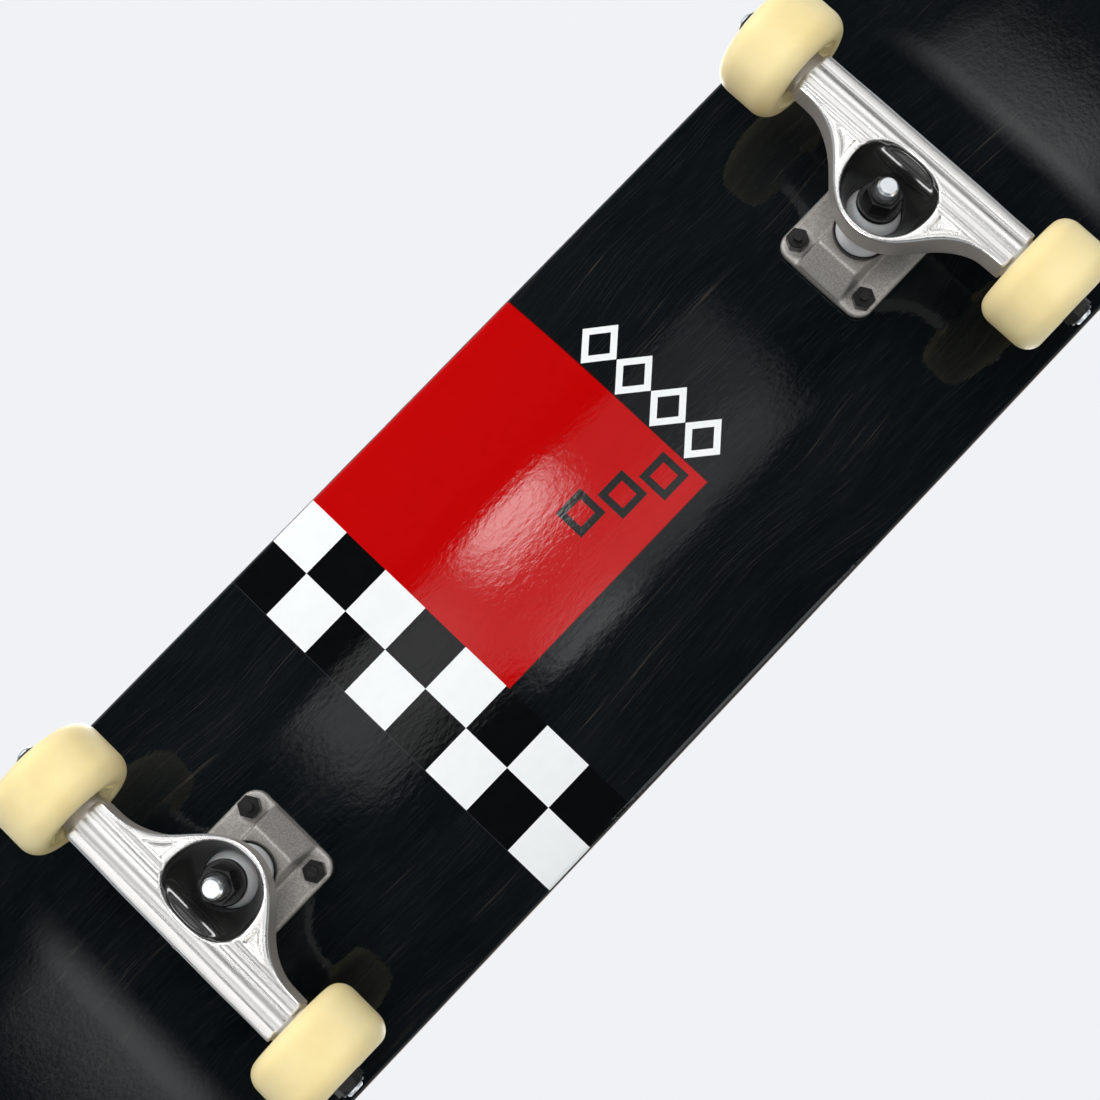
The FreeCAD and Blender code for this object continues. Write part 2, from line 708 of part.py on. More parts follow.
def make_hanger(end, place):
    body = new_body(f"{end}_hanger", place)
    axle_x, axle_z = dim("axle_offset"), -dim("axle_drop")

    # the yoke: its side shape, then its plan shape
    side = new_sketch(body, "XZ_Plane", f"{end}_yoke_side")
    low_in, low_out = on_kingpin(ring_bottom - 2.8, -17), on_kingpin(ring_bottom - 2.8, 14.5)
    polygon(side, (low_in, low_out, (axle_x + 5, axle_z + 8), (axle_x + 8, axle_z - 4),
                   (axle_x + 6, axle_z - 9.3), (axle_x - 9, axle_z - 9.3),
                   (-20, axle_z - 1), (-21, -40)))
    pad(body, f"{end}_yoke", side, 96, symmetric=True)
    plan = new_sketch(body, "XY_Plane", f"{end}_yoke_plan")
    wide, far = as_size(70), as_size(60)
    polygon(plan, ((-far, -wide), (far, -wide), (far, wide), (-far, wide)))
    polygon(plan, ((-20, -8.5), (4, -36), (axle_x - 8, -47.5), (40, -47.5),
                   (40, 47.5), (axle_x - 8, 47.5), (4, 36), (-20, 8.5)))
    pocket_through(body, f"{end}_yoke_outline", plan)
    soften(body, f"{end}_yoke_front", 14,
           lambda edge: abs(edge.CenterOfMass.x + 20) < 0.1
           and abs(abs(edge.CenterOfMass.y) - 8.5) < 0.1)

    # the beam over the axle, with plain round collars at its ends
    beam = new_sketch(body, "XZ_Plane", f"{end}_beam_section")
    polygon(beam, ((axle_x - 7, axle_z + 8), (axle_x - 9.6, axle_z + 2), (axle_x - 9.6, axle_z - 6),
                   (axle_x - 6.5, axle_z - 9.5), (axle_x + 7.5, axle_z - 9.5),
                   (axle_x + 10.8, axle_z - 5.5), (axle_x + 10.8, axle_z + 2),
                   (axle_x + 6, axle_z + 8)))
    collar = dim("collar_length")
    pad(body, f"{end}_beam", beam, (hanger_end - collar) * 2, symmetric=True)
    primitive(body, "AdditiveCylinder", f"{end}_collars",
              axle_frame * moved(0, 0, -hanger_end.value),
              Radius=dim("collar_radius"), Height=hanger_end * 2)

    # the nose that runs down to the pivot cup
    tip = dim("pivot_tip_radius")
    primitive(body, "AdditiveSphere", f"{end}_pivot_tip", steering_frame, Radius=tip)
    primitive(body, "AdditiveCylinder", f"{end}_pivot_neck", steering_frame, Radius=tip, Height=6)
    primitive(body, "AdditiveCone", f"{end}_nose", steering_frame * moved(0, 0, 6),
              Radius1=tip, Radius2=tip + 4.2, Height=26)
    primitive(body, "SubtractiveCylinder", f"{end}_bushing_room", kingpin_frame,
              Radius=14.5, Height=ring_bottom - 4)

    # the bowl around the kingpin nut, open to the road
    floor = new_sketch(body, "XY_Plane", f"{end}_bowl_floor", -43)
    polygon(floor, ((-16.5, -6), (-9, -13.5), (3, -13.5), (9.5, -7),
                    (9.5, 7), (3, 13.5), (-9, 13.5), (-16.5, 6)))
    mouth = new_sketch(body, "XY_Plane", f"{end}_bowl_mouth", -64)
    polygon(mouth, ((-16.8, -8), (-6, -17.5), (7, -22), (16, -15),
                    (16, 15), (7, 22), (-6, 17.5), (-16.8, 8)))
    bowl = solid(body, "SubtractiveLoft", f"{end}_bowl", floor)
    bowl.Sections = [mouth]
    primitive(body, "SubtractiveCylinder", f"{end}_top_seat",
              kingpin_frame * moved(0, 0, ring_top.value),
              Radius=dim("top_bushing_radius") + 0.5, Height=30)
    primitive(body, "SubtractiveCylinder", f"{end}_bottom_seat", kingpin_frame,
              Radius=dim("bottom_bushing_radius") + 0.5, Height=ring_bottom)
    primitive(body, "SubtractiveCylinder", f"{end}_ring_bore", kingpin_frame,
              Radius=dim("ring_bore_radius"), Height=60)
    primitive(body, "AdditiveCylinder", f"{end}_axle_sleeve",
              axle_frame * moved(0, 0, -26), Radius=6, Height=52)

    # three long grooves in the road face, and the bore for the axle
    grooves = new_sketch(body, "XZ_Plane", f"{end}_grooves")
    for offset in (-5.5, 0, 5.5):
        circle(grooves, axle_x + offset, axle_z - 10.4, 1.7)
    cut = solid(body, "Pocket", f"{end}_grooved", grooves)
    cut.SideType = "Symmetric"
    cut.setExpression("Length", ((hanger_end - collar) * 2 - 4).formula)
    primitive(body, "SubtractiveCylinder", f"{end}_axle_bore",
              axle_frame * moved(0, 0, -hanger_end.value - 1),
              Radius=dim("axle_diameter") / 2, Height=hanger_end * 2 + 2)


def mirrored_rings(inner, outer, low, high):
    """Outlines of two equal rings at both ends of the axle."""
    return (ring_outline(inner, outer, low, high), ring_outline(inner, outer, -high, -low))


def make_axle_parts(end, place):
    along = place * axle_frame
    radius = dim("axle_diameter") / 2
    tip = dim("axle_length") / 2
    turned_body(f"{end}_axle", along,
                ((0, -tip), (radius - 0.8, -tip), (radius, -tip + 0.8), (radius, tip - 0.8),
                 (radius - 0.8, tip), (0, tip)))

    bore = dim("bearing_bore_radius") + 0.1
    turned_body(f"{end}_speed_washers", along,
                *mirrored_rings(bore, dim("washer_radius"), hanger_end, inner_bearing),
                *mirrored_rings(bore, dim("washer_radius"), outer_end, nut_start))
    turned_body(f"{end}_spacers", along,
                *mirrored_rings(bore, dim("washer_radius") - 0.8, spacer_start, spacer_end))

    races = []
    for centre in ((inner_bearing + spacer_start) / 2, (spacer_end + outer_end) / 2):
        for middle in (centre, -centre):
            races.append(inner_race_outline(middle))
    turned_body(f"{end}_inner_races", along, *races)

    nuts = new_body(f"{end}_axle_nuts", along)
    height = dim("axle_nut_height")
    first = new_sketch(nuts, "XY_Plane", f"{end}_axle_nut_left", nut_start)
    second = new_sketch(nuts, "XY_Plane", f"{end}_axle_nut_right", -nut_start - (height - 1.5))
    for name, sketch in (("left", first), ("right", second)):
        polygon(sketch, hexagon(dim("axle_nut_flats")))
        circle(sketch, 0, 0, radius)
        pad(nuts, f"{end}_nut_{name}", sketch, height - 1.5)
    collars = new_sketch(nuts, "XZ_Plane", f"{end}_axle_nut_collars")
    low, high = nut_start + height - 2, nut_start + height
    for side in (1, -1):
        polygon(collars, ((radius, low * side), (5.6, low * side), (5.6, (high - 0.5) * side),
                          (5.1, high * side), (radius, high * side)))
    revolve(nuts, f"{end}_axle_nut_rims", collars)


# ---- one wheel and its bearings ---------------------------------------------

groove_edge = as_size(1.8)
groove_floor = as_size(1.1)


def inner_race_outline(middle):
    half = dim("bearing_width") / 2
    bore = dim("bearing_bore_radius")
    shoulder = dim("ball_circle_radius") - 1.6
    floor = dim("ball_circle_radius") - 2.25
    return ((bore, middle - half), (shoulder, middle - half), (shoulder, middle - groove_edge),
            (floor, middle - groove_floor), (floor, middle + groove_floor),
            (shoulder, middle + groove_edge), (shoulder, middle + half), (bore, middle + half))


def outer_race_outline(middle):
    half = dim("bearing_width") / 2
    outside = dim("bearing_radius")
    shoulder = dim("ball_circle_radius") + 1.6
    floor = dim("ball_circle_radius") + 2.25
    step = half - 0.5
    mouth = shoulder + 0.3
    return ((outside, middle - half), (mouth, middle - half), (mouth, middle - step),
            (shoulder, middle - step), (shoulder, middle - groove_edge),
            (floor, middle - groove_floor), (floor, middle + groove_floor),
            (shoulder, middle + groove_edge), (shoulder, middle + step),
            (mouth, middle + step), (mouth, middle + half), (outside, middle + half))


def make_wheel(corner, place):
    bearing = (dim("spacer_length") + dim("bearing_width")) / 2
    tread, half = dim("tread_half_width"), dim("wheel_width") / 2
    core, seat = dim("core_half_width"), dim("spacer_length") / 2
    upper = ((dim("core_bore_radius"), seat), (dim("bearing_radius"), seat),
             (dim("bearing_radius"), core), (dim("core_radius"), core),
             (dim("lip_radius"), half), (dim("side_radius"), half), (dim("wheel_radius"), tread))
    lower = [(radius, -height) for radius, height in reversed(upper)]
    wheel = turned_body(f"{corner}_wheel", place, (*upper, *lower))
    for name, radius, at in (("shoulders", 4, "wheel_radius"), ("sides", 3, "side_radius"),
                             ("lips", 1.2, "lip_radius")):
        soften(wheel, f"{corner}_{name}", radius, lambda edge: is_ring(edge, VALUES[at]))

    turned_body(f"{corner}_outer_races", place,
                outer_race_outline(bearing), outer_race_outline(-bearing))

    inner, outer = dim("ball_circle_radius") - 1.1, dim("ball_circle_radius") + 1.9
    shields = []
    for side in (1, -1):
        for offset in (3.25, -3.25):
            height = bearing * side + offset
            shields.append(ring_outline(inner, outer, height - 0.15, height + 0.15))
    turned_body(f"{corner}_shields", place, *shields)

    circle_radius = dim("ball_circle_radius")
    balls = new_body(f"{corner}_balls", place)
    rows = [primitive(balls, "AdditiveSphere", f"{corner}_ball_{name}",
                      moved(circle_radius.value, 0, bearing.value * side),
                      Radius=dim("ball_radius"))
            for name, side in (("outer", 1), ("inner", -1))]
    polar_copies(balls, f"{corner}_ball_rows", rows, BALLS_PER_BEARING)

    cages = turned_body(f"{corner}_cages", place,
                        *(ring_outline(circle_radius - 0.8, circle_radius + 0.8,
                                       bearing * side - low, bearing * side + high)
                          for side, low, high in ((1, 1.2, 2.75), (-1, 2.75, 1.2))))
    pockets = [primitive(cages, "SubtractiveCylinder", f"{corner}_pocket_{name}",
                         moved(circle_radius.value, 0, bearing.value * side + start),
                         Radius=dim("ball_radius") + 0.3, Height=3.75)
               for name, side, start in (("outer", 1, -1.5), ("inner", -1, -2.25))]
    polar_copies(cages, f"{corner}_pockets", pockets, BALLS_PER_BEARING)


# ---- the whole board ---------------------------------------------------------

for end, truck_x, turn in (("front", VALUES["front_truck_x"], 0),
                           ("rear", -VALUES["rear_truck_x"], 180)):
    place = FreeCAD.Placement(vector(truck_x, 0, VALUES["deck_bottom_height"]),
                              FreeCAD.Rotation(vector(0, 0, 1), turn))
    make_mounting_hardware(end, place)
    make_baseplate(end, place)
    make_kingpin_stack(end, place)
    make_hanger(end, place)
    make_axle_parts(end, place)
    for side in (1, -1):
        hand = "left" if (side > 0) == (end == "front") else "right"
        make_wheel(f"{end}_{hand}", place * axle_frame * moved(0, 0, side * wheel_middle.value))

document.recompute()

# ---- check and export ----------------------------------------------------------

for thing in document.Objects:
    if "Invalid" in thing.State or "Error" in thing.State:
        raise ValueError(f"{thing.Label} did not compute: {thing.State}")

os.makedirs("parts", exist_ok=True)
for body in exported:
    if body.Shape.isNull() or not body.Shape.isValid():
        raise ValueError(f"{body.Label} has no valid shape")
    body.Shape.exportStep(f"parts/{body.Label}.step")
    print(body.Label, len(body.Shape.Solids), round(body.Shape.Volume / 1000, 3))
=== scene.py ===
"""The looks of a complete skateboard, built round its CAD frame: printed deck, grip, trucks and wheels."""
import json
import math

import bmesh
import bpy
import numpy as np
from mathutils import Euler, Matrix, Vector

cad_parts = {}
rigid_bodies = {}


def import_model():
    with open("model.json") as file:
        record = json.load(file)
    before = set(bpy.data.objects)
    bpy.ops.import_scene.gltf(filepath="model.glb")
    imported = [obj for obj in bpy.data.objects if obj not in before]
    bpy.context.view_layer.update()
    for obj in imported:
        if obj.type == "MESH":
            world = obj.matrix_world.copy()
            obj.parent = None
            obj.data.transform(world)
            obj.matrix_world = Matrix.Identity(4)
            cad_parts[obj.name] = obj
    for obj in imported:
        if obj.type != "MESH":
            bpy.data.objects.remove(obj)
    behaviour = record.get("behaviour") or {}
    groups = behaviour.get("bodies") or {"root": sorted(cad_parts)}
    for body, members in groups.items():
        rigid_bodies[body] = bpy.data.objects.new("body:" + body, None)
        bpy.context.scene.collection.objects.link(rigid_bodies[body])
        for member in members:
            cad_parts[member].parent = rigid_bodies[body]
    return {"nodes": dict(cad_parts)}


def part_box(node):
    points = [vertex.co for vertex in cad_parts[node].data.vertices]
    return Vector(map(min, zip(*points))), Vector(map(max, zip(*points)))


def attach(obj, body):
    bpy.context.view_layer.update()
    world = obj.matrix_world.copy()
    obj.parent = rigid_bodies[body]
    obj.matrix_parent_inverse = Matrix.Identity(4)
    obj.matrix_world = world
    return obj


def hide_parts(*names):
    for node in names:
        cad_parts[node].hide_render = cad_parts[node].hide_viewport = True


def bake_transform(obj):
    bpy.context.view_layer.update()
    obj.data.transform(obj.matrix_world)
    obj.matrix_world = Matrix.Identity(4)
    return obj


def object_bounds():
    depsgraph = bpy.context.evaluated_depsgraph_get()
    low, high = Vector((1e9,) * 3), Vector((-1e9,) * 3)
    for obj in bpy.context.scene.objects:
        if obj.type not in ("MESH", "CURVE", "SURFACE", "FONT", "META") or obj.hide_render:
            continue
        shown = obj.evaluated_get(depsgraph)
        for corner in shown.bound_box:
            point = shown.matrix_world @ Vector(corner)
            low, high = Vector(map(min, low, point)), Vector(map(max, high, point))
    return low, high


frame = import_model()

cad_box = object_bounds()
nodes = frame["nodes"]
ENDS = ("front", "rear")
CORNERS = ("front_left", "front_right", "rear_left", "rear_right")
# The frame is in metres, and most sizes below are given in millimetres.
MM = 0.001


def srgb(red, green, blue):
    """A colour from its 0 to 255 display values, as linear RGBA."""
    def linear(value):
        value /= 255
        return value / 12.92 if value <= 0.04045 else ((value + 0.055) / 1.055) ** 2.4
    return (linear(red), linear(green), linear(blue), 1.0)


def new_object(name, data):
    made = bpy.data.objects.new(name, data)
    bpy.context.scene.collection.objects.link(made)
    return made


def ring_faces(rings, columns, closed=False):
    """Quads between neighbouring rings of points; a closed stack also joins its last ring to its first."""
    faces = []
    for ring in range(rings if closed else rings - 1):
        below = (ring + 1) % rings
        for column in range(columns):
            after = (column + 1) % columns
            faces.append((ring * columns + column, ring * columns + after,
                          below * columns + after, below * columns + column))
    return faces


# -------- material helpers

def add_node(tree, kind, inputs=(), output=0, **settings):
    """Adds a shader node, sets or links its inputs, and returns one of its outputs, or none."""
    made = tree.nodes.new("ShaderNode" + kind)
    for key, value in settings.items():
        setattr(made, key, value)
    for key, value in dict(inputs).items():
        if isinstance(value, bpy.types.NodeSocket):
            tree.links.new(value, made.inputs[key])
        elif value is not None:
            made.inputs[key].default_value = value
    return None if output is None else made.outputs[output]


class Finish:
    """A node material with one Principled surface, and short names for the nodes that feed it."""

    def __init__(self, name, **constants):
        self.material = bpy.data.materials.new(name)
        self.material.use_nodes = True
        self.tree = self.material.node_tree
        self.surface = next(n for n in self.tree.nodes if n.type == "BSDF_PRINCIPLED")
        self.coordinates = self.tree.nodes.new("ShaderNodeTexCoord").outputs["Object"]
        for socket, value in constants.items():
            self.surface.inputs[socket.replace("_", " ")].default_value = value

    def node(self, kind, inputs=(), output=0, **settings):
        return add_node(self.tree, kind, inputs, output, **settings)

    def math(self, operation, first, second=None, clamp=False):
        return self.node("Math", {0: first, 1: second}, operation=operation, use_clamp=clamp)

    def minus(self, first, second):
        return self.math("SUBTRACT", first, second)

    def distance(self, first, second):
        return self.math("ABSOLUTE", self.minus(first, second))

    def times(self, first, second):
        return self.math("MULTIPLY", first, second)

    def plus(self, first, second):
        return self.math("ADD", first, second)

    def largest(self, first, *others):
        for other in others:
            first = self.math("MAXIMUM", first, other)
        return first

    def within(self, value, low, high):
        """1 where low < value < high."""
        above = self.math("GREATER_THAN", value, low)
        below = self.math("LESS_THAN", value, high)
        return self.times(above, below)

    def rise(self, value, low, high):
        """0 below low, 1 above high, and a smooth step between them."""
        return self.node("MapRange", {"Value": value, "From Min": low, "From Max": high},
                         interpolation_type="SMOOTHSTEP")

    def scaled(self, x, y, z, vector=None):
        source = self.coordinates if vector is None else vector
        return self.node("VectorMath", {0: source, 1: (x, y, z)}, operation="MULTIPLY")

    def axes(self):
        """The object's own X, Y and Z, as three sockets."""
        split = self.node("SeparateXYZ", {0: self.coordinates}).node
        return split.outputs[0], split.outputs[1], split.outputs[2]

    def attribute(self, name):
        """A value stored on the mesh's points, which is the node's third output."""
        return self.node("Attribute", attribute_name=name, output=2)

    def noise(self, scale, vector=None, detail=3.0, roughness=0.5):
        source = self.coordinates if vector is None else vector
        return self.node("TexNoise", {"Vector": source, "Scale": scale, "Detail": detail,
                                      "Roughness": roughness})

    def cells(self, scale):
        return self.node("TexVoronoi", {"Vector": self.coordinates, "Scale": scale})

    def ramp(self, factor, *stops):
        """A value or a colour that changes evenly between stops, each a position and what it has there."""
        made = self.tree.nodes.new("ShaderNodeValToRGB")
        elements = made.color_ramp.elements
        while len(elements) < len(stops):
            elements.new(0.5)
        for element, (position, colour) in zip(elements, stops):
            element.position = position
            element.color = colour if hasattr(colour, "__len__") else (colour, colour, colour, 1.0)
        self.tree.links.new(factor, made.inputs[0])
        return made.outputs[0]

    def mix(self, factor, first, second):
        return self.node("Mix", {0: factor, 6: first, 7: second}, output=2, data_type="RGBA")

    def bump(self, height, strength=1.0):
        """The normal of a surface raised by a height in metres."""
        return self.node("Bump", {"Height": height, "Distance": 1.0, "Strength": strength})

    def feed(self, colour, rough, height, strength=1.0, **others):
        """Links the surface's sockets, its normal raised by a height, and returns the material."""
        normal = self.bump(height, strength)
        sockets = {"Base Color": colour, "Roughness": rough, "Normal": normal, **others}
        for name, value in sockets.items():
            self.tree.links.new(value, self.surface.inputs[name.replace("_", " ")])
        return self.material


def give(material, *names):
    """Puts one material on every slot of these CAD nodes."""
    for name in names:
        mesh = nodes[name].data
        mesh.materials.clear()
        mesh.materials.append(material)


# -------- deck shape

deck_low, deck_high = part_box("deck")
UNDERSIDE = deck_low.z
THICKNESS = 11.1 * MM
HALF_WIDTH = deck_high.y
HALF_LENGTH = deck_high.x
CONCAVE_FLAT = 32 * MM
CONCAVE_RADIUS = 340 * MM
KICK_RADIUS = 170 * MM
RAIL_RADIUS = 3 * MM
# How far the spine, which the rings of the deck's mesh close on, reaches into each rounded end.
SPINE_REACH = 0.75
# Each end: where its kick starts, the kick's angle, and the outline's flank and tip radii.
NOSE = {"start": 236.5 * MM, "angle": math.radians(21), "flank": 160 * MM, "tip": 85 * MM}
TAIL = {"start": 249.5 * MM, "angle": math.radians(19.5), "flank": 150 * MM, "tip": 88 * MM}


def deck_height(x, y, level):
    """Height of the deck at plan position x, y, with level from 0 at the underside to 1 at the top."""
    side = np.maximum(np.abs(y) - CONCAVE_FLAT, 0)
    radius = CONCAVE_RADIUS - THICKNESS * level
    raised = CONCAVE_RADIUS - np.sqrt(radius ** 2 - side ** 2)
    height = raised.copy()
    for end, sign in ((NOSE, 1), (TAIL, -1)):
        beyond = sign * x - end["start"]
        turn = KICK_RADIUS - raised
        straight = beyond > turn * math.sin(end["angle"])
        share = np.clip(beyond / turn, 0, math.sin(end["angle"]))
        curved = KICK_RADIUS - turn * np.sqrt(1 - share ** 2)
        slope = (beyond - turn * math.sin(end["angle"])) * math.tan(end["angle"])
        height = np.where(beyond > 0, curved + np.where(straight, slope, 0), height)
    return UNDERSIDE + height


def end_arcs(end, steps):
    """Plan points of a quarter of the outline, from the straight rail's end round to the tip."""
    tip_centre = HALF_LENGTH - end["tip"]
    drop = end["flank"] - HALF_WIDTH
    flank_centre = tip_centre - math.sqrt((end["flank"] - end["tip"]) ** 2 - drop ** 2)
    joint = math.atan2(drop, tip_centre - flank_centre)
    points = []
    for angle in np.linspace(math.pi / 2, joint, steps, endpoint=False):
        across = end["flank"] * math.sin(angle) - drop
        points.append((flank_centre + end["flank"] * math.cos(angle), across))
    for angle in np.linspace(joint, 0, steps):
        points.append((tip_centre + end["tip"] * math.cos(angle), end["tip"] * math.sin(angle)))
    return points


def deck_outline(steps=56, straight=230):
    """The outline counter-clockwise from the nose tip, and for each point the spine point it faces."""
    nose, tail = end_arcs(NOSE, steps), end_arcs(TAIL, steps)
    rail = np.linspace(nose[0][0], -tail[0][0], straight + 1)[1:-1]
    left = list(reversed(nose)) + [(x, HALF_WIDTH) for x in rail] + [(-x, y) for x, y in tail]
    outline = left + [(x, -y) for x, y in reversed(left[1:-1])]
    outline = np.array(outline)
    spine = np.zeros_like(outline)
    for row, (x, y) in enumerate(outline):
        start, sign = (nose[0][0], 1) if x > 0 else (tail[0][0], -1)
        tip = HALF_LENGTH - start
        past = max(sign * x - start, 0) / tip
        spine[row, 0] = x if past == 0 else sign * (start + SPINE_REACH * tip * (1 - (1 - past) ** 1.5))
    return outline, spine


def deck_rings(reach):
    """Rings from the underside's middle, round the rail, to the top's middle.

    Each has its inset from the outline, its level and its lift above that level, or None on the edge wall.
    """
    quarter = np.linspace(0, math.pi / 2, 7)
    inner = [RAIL_RADIUS + (reach - RAIL_RADIUS) * share ** 1.15 for share in np.linspace(1, 0, 30)]
    rings = [(inset, 0.0, 0.0) for inset in inner]
    for angle in quarter[1:]:
        rings.append((RAIL_RADIUS * (1 - math.sin(angle)), 0.0, RAIL_RADIUS * (1 - math.cos(angle))))
    rings += [(0.0, level, None) for level in np.linspace(0, 1, 16)[1:-1]]
    for angle in quarter[::-1][:-1]:
        rings.append((RAIL_RADIUS * (1 - math.sin(angle)), 1.0, -RAIL_RADIUS * (1 - math.cos(angle))))
    return rings + [(inset, 1.0, 0.0) for inset in inner[::-1]]


def build_deck():
    """The deck's mesh, with its depth through the plies stored as an attribute."""
    outline, spine = deck_outline()
    across = spine - outline
    reach = np.linalg.norm(across, axis=1, keepdims=True)
    rings = deck_rings(reach)
    coordinates, plies = [], []
    for inset, level, lift in rings:
        plan = outline + across * (inset / reach)
        low = deck_height(plan[:, 0], plan[:, 1], 0.0)
        high = deck_height(plan[:, 0], plan[:, 1], 1.0)
        if lift is None:
            bottom, top = low + RAIL_RADIUS, high - RAIL_RADIUS
            z = bottom + (top - bottom) * level
        else:
            z = (low if level == 0.0 else high) + lift
        coordinates.append(np.column_stack([plan, z]))
        plies.append((z - low) / (high - low))
    vertices = np.concatenate(coordinates)
    ply = np.concatenate(plies)
    mesh = bpy.data.meshes.new("deck_wood")
    mesh.from_pydata(vertices.tolist(), [], ring_faces(len(rings), len(outline)))
    attribute = mesh.attributes.new("ply", "FLOAT", "POINT")
    attribute.data.foreach_set("value", ply.astype(np.float32))
    work = bmesh.new()
    work.from_mesh(mesh)
    bmesh.ops.remove_doubles(work, verts=work.verts, dist=1e-6)
    bmesh.ops.dissolve_degenerate(work, edges=work.edges, dist=1e-7)
    bmesh.ops.recalc_face_normals(work, faces=work.faces)
    work.to_mesh(mesh)
    work.free()
    mesh.shade_smooth()
    return new_object("deck_board", mesh)


# -------- castings

# A casting is described by a distance field in millimetres, in its truck's own frame: origin at the bolt
# pattern's centre on the deck's underside, +X away from the board's middle, +Z up into the deck. Places
# in its middle plane are (x, z) pairs: the axle, the beam's section, the pivot and the steering axis. Each
# groove of the face towards the road has its place along X, its depth and its width.
AXLE = (18.0, -53.0)
AXLE_BORE = 3.97
STUB_RADIUS, STUB_END = 10.0, 65.5
SLEEVE_RADIUS, SLEEVE_END = 6.6, 40.0
BEAM_CENTRE = (18.35, -52.9)
BEAM_DEPTH, BEAM_LENGTH, BEAM_HEIGHT = 10.4, 60.5, 9.4
PIVOT = (27.0, -15.5)
STEER = (-0.8521, -0.5234)
NOSE_RADIUS = 5.0
WING_TOP = -44.0
ROAD_FACE, GROOVES = -62.3, ((9.6, 0.8, 1.2), (15.4, 1.5, 1.1), (21.2, 1.5, 1.1))
BOWL_MOUTH = -63.0
# Heights along the kingpin from its foot in the deck, and radii about it.
KINGPIN_FOOT = -11.2
KINGPIN_LEAN = math.radians(10)
CUP_SEAT, BUSHING_FOOT, RING_BOTTOM, RING_TOP, BUSHING_END = 17.0, 18.2, 32.2, 39.2, 50.2
BOTTOM_SEAT, TOP_SEAT, RING_HOLE, KINGPIN_HOLE = 13.1, 12.9, 7.0, 4.86
# The baseplate: its outline, then its bolts' places and holes, and the boss that holds the pivot cup.
PLATE_CENTRE, PLATE_HALF, PLATE_CORNER, PLATE_THICKNESS = (1.75, 0.0), (37.75, 27.0), 8.0, 5.0
BOLTS = (26.99, 20.64)
BOLT_HOLE, NUT_POCKET, NUT_SEAT = 2.8, 7.1, -4.8
BOSS_RADIUS, RIM_BORE, CUP_BORE = 9.2, 8.8, 7.2


def smooth_min(first, second, width):
    share = np.clip(0.5 + 0.5 * (second - first) / width, 0, 1)
    return second + (first - second) * share - width * share * (1 - share)


def smooth_max(first, second, width):
    return -smooth_min(-first, -second, width)


def soft_step(value, low, high):
    share = np.clip((value - low) / (high - low), 0, 1)
    return share * share * (3 - 2 * share)


def rounded_box(x, y, centre, half, radius):
    """Distance to a flat rectangle with rounded corners."""
    dx = np.abs(x - centre[0]) - half[0] + radius
    dy = np.abs(y - centre[1]) - half[1] + radius
    outside = np.hypot(np.maximum(dx, 0), np.maximum(dy, 0))
    return outside + np.minimum(np.maximum(dx, dy), 0) - radius


def along_kingpin(x, y, z):
    """Distance along the kingpin from the deck, and distance out from its axis."""
    sine, cosine = math.sin(KINGPIN_LEAN), math.cos(KINGPIN_LEAN)
    along = (x - KINGPIN_FOOT) * sine - z * cosine
    across = (x - KINGPIN_FOOT) * cosine + z * sine
    return along, np.hypot(across, y)


def along_steering(x, y, z):
    """Distance from the pivot tip along the steering axis, and distance out from that axis."""
    dx, dz = x - PIVOT[0], z - PIVOT[1]
    along = dx * STEER[0] + dz * STEER[1]
    across = dx * STEER[1] - dz * STEER[0]
    return along, np.hypot(across, y)


def bowl_outline(x, y, z):
    """The egg-shaped bowl: a wide mouth at the road face that curves in towards the ring."""
    depth = np.clip((z - BOWL_MOUTH) / 20, 0, 1.1) ** 2
    dx = x + 0.1 + 4.2 * depth
    half_x = 18.8 - 8.2 * depth
    half_y = (21.9 + 0.10 * np.clip(dx, -14, 14)) - 8.8 * depth
    power = 2.3
    reach = (np.abs(dx / half_x) ** power + np.abs(y / half_y) ** power) ** (1 / power)
    radius = np.hypot(dx, y) + 1e-6
    return radius * (1 - 1 / np.maximum(reach, 1e-3))


def hanger_outline(x, y, z):
    """The hanger seen from the road: a ring that flares into the beam over the axle."""
    ring_radius = 20.8 - 0.045 * np.clip(z + 54, 0, 30)
    ring = np.hypot(x - 0.8, y) - ring_radius
    beam = rounded_box(x, y, (BEAM_CENTRE[0], 0.0), (BEAM_DEPTH, BEAM_LENGTH), 2.0)
    flared = smooth_min(ring, beam, 38.0)
    return smooth_max(flared, x - (BEAM_CENTRE[0] + BEAM_DEPTH), 2.5)


def road_face(x, y):
    """Height of the polished face: level on the beam, sloping up to the ring, with grooves and pockets."""
    face = ROAD_FACE + 8.4 * np.clip((9.0 - x) / 29.0, 0, 1.1)
    for groove, depth, width in GROOVES:
        face = face + depth * np.exp(-((x - groove) / width) ** 2)
    face = face + 0.011 * np.maximum(x - AXLE[0], 0) ** 2
    # two shallow triangular pockets, between the bowl, the hanger's sides and the beam
    outline = hanger_outline(x, y, np.full_like(x, -58.0))
    mouth = bowl_outline(x, y, np.full_like(x, BOWL_MOUTH))
    pocket = np.maximum(np.maximum(outline + 2.4, 2.8 - mouth), x - 7.0)
    return face + 1.5 * soft_step(-pocket, -0.2, 1.1)


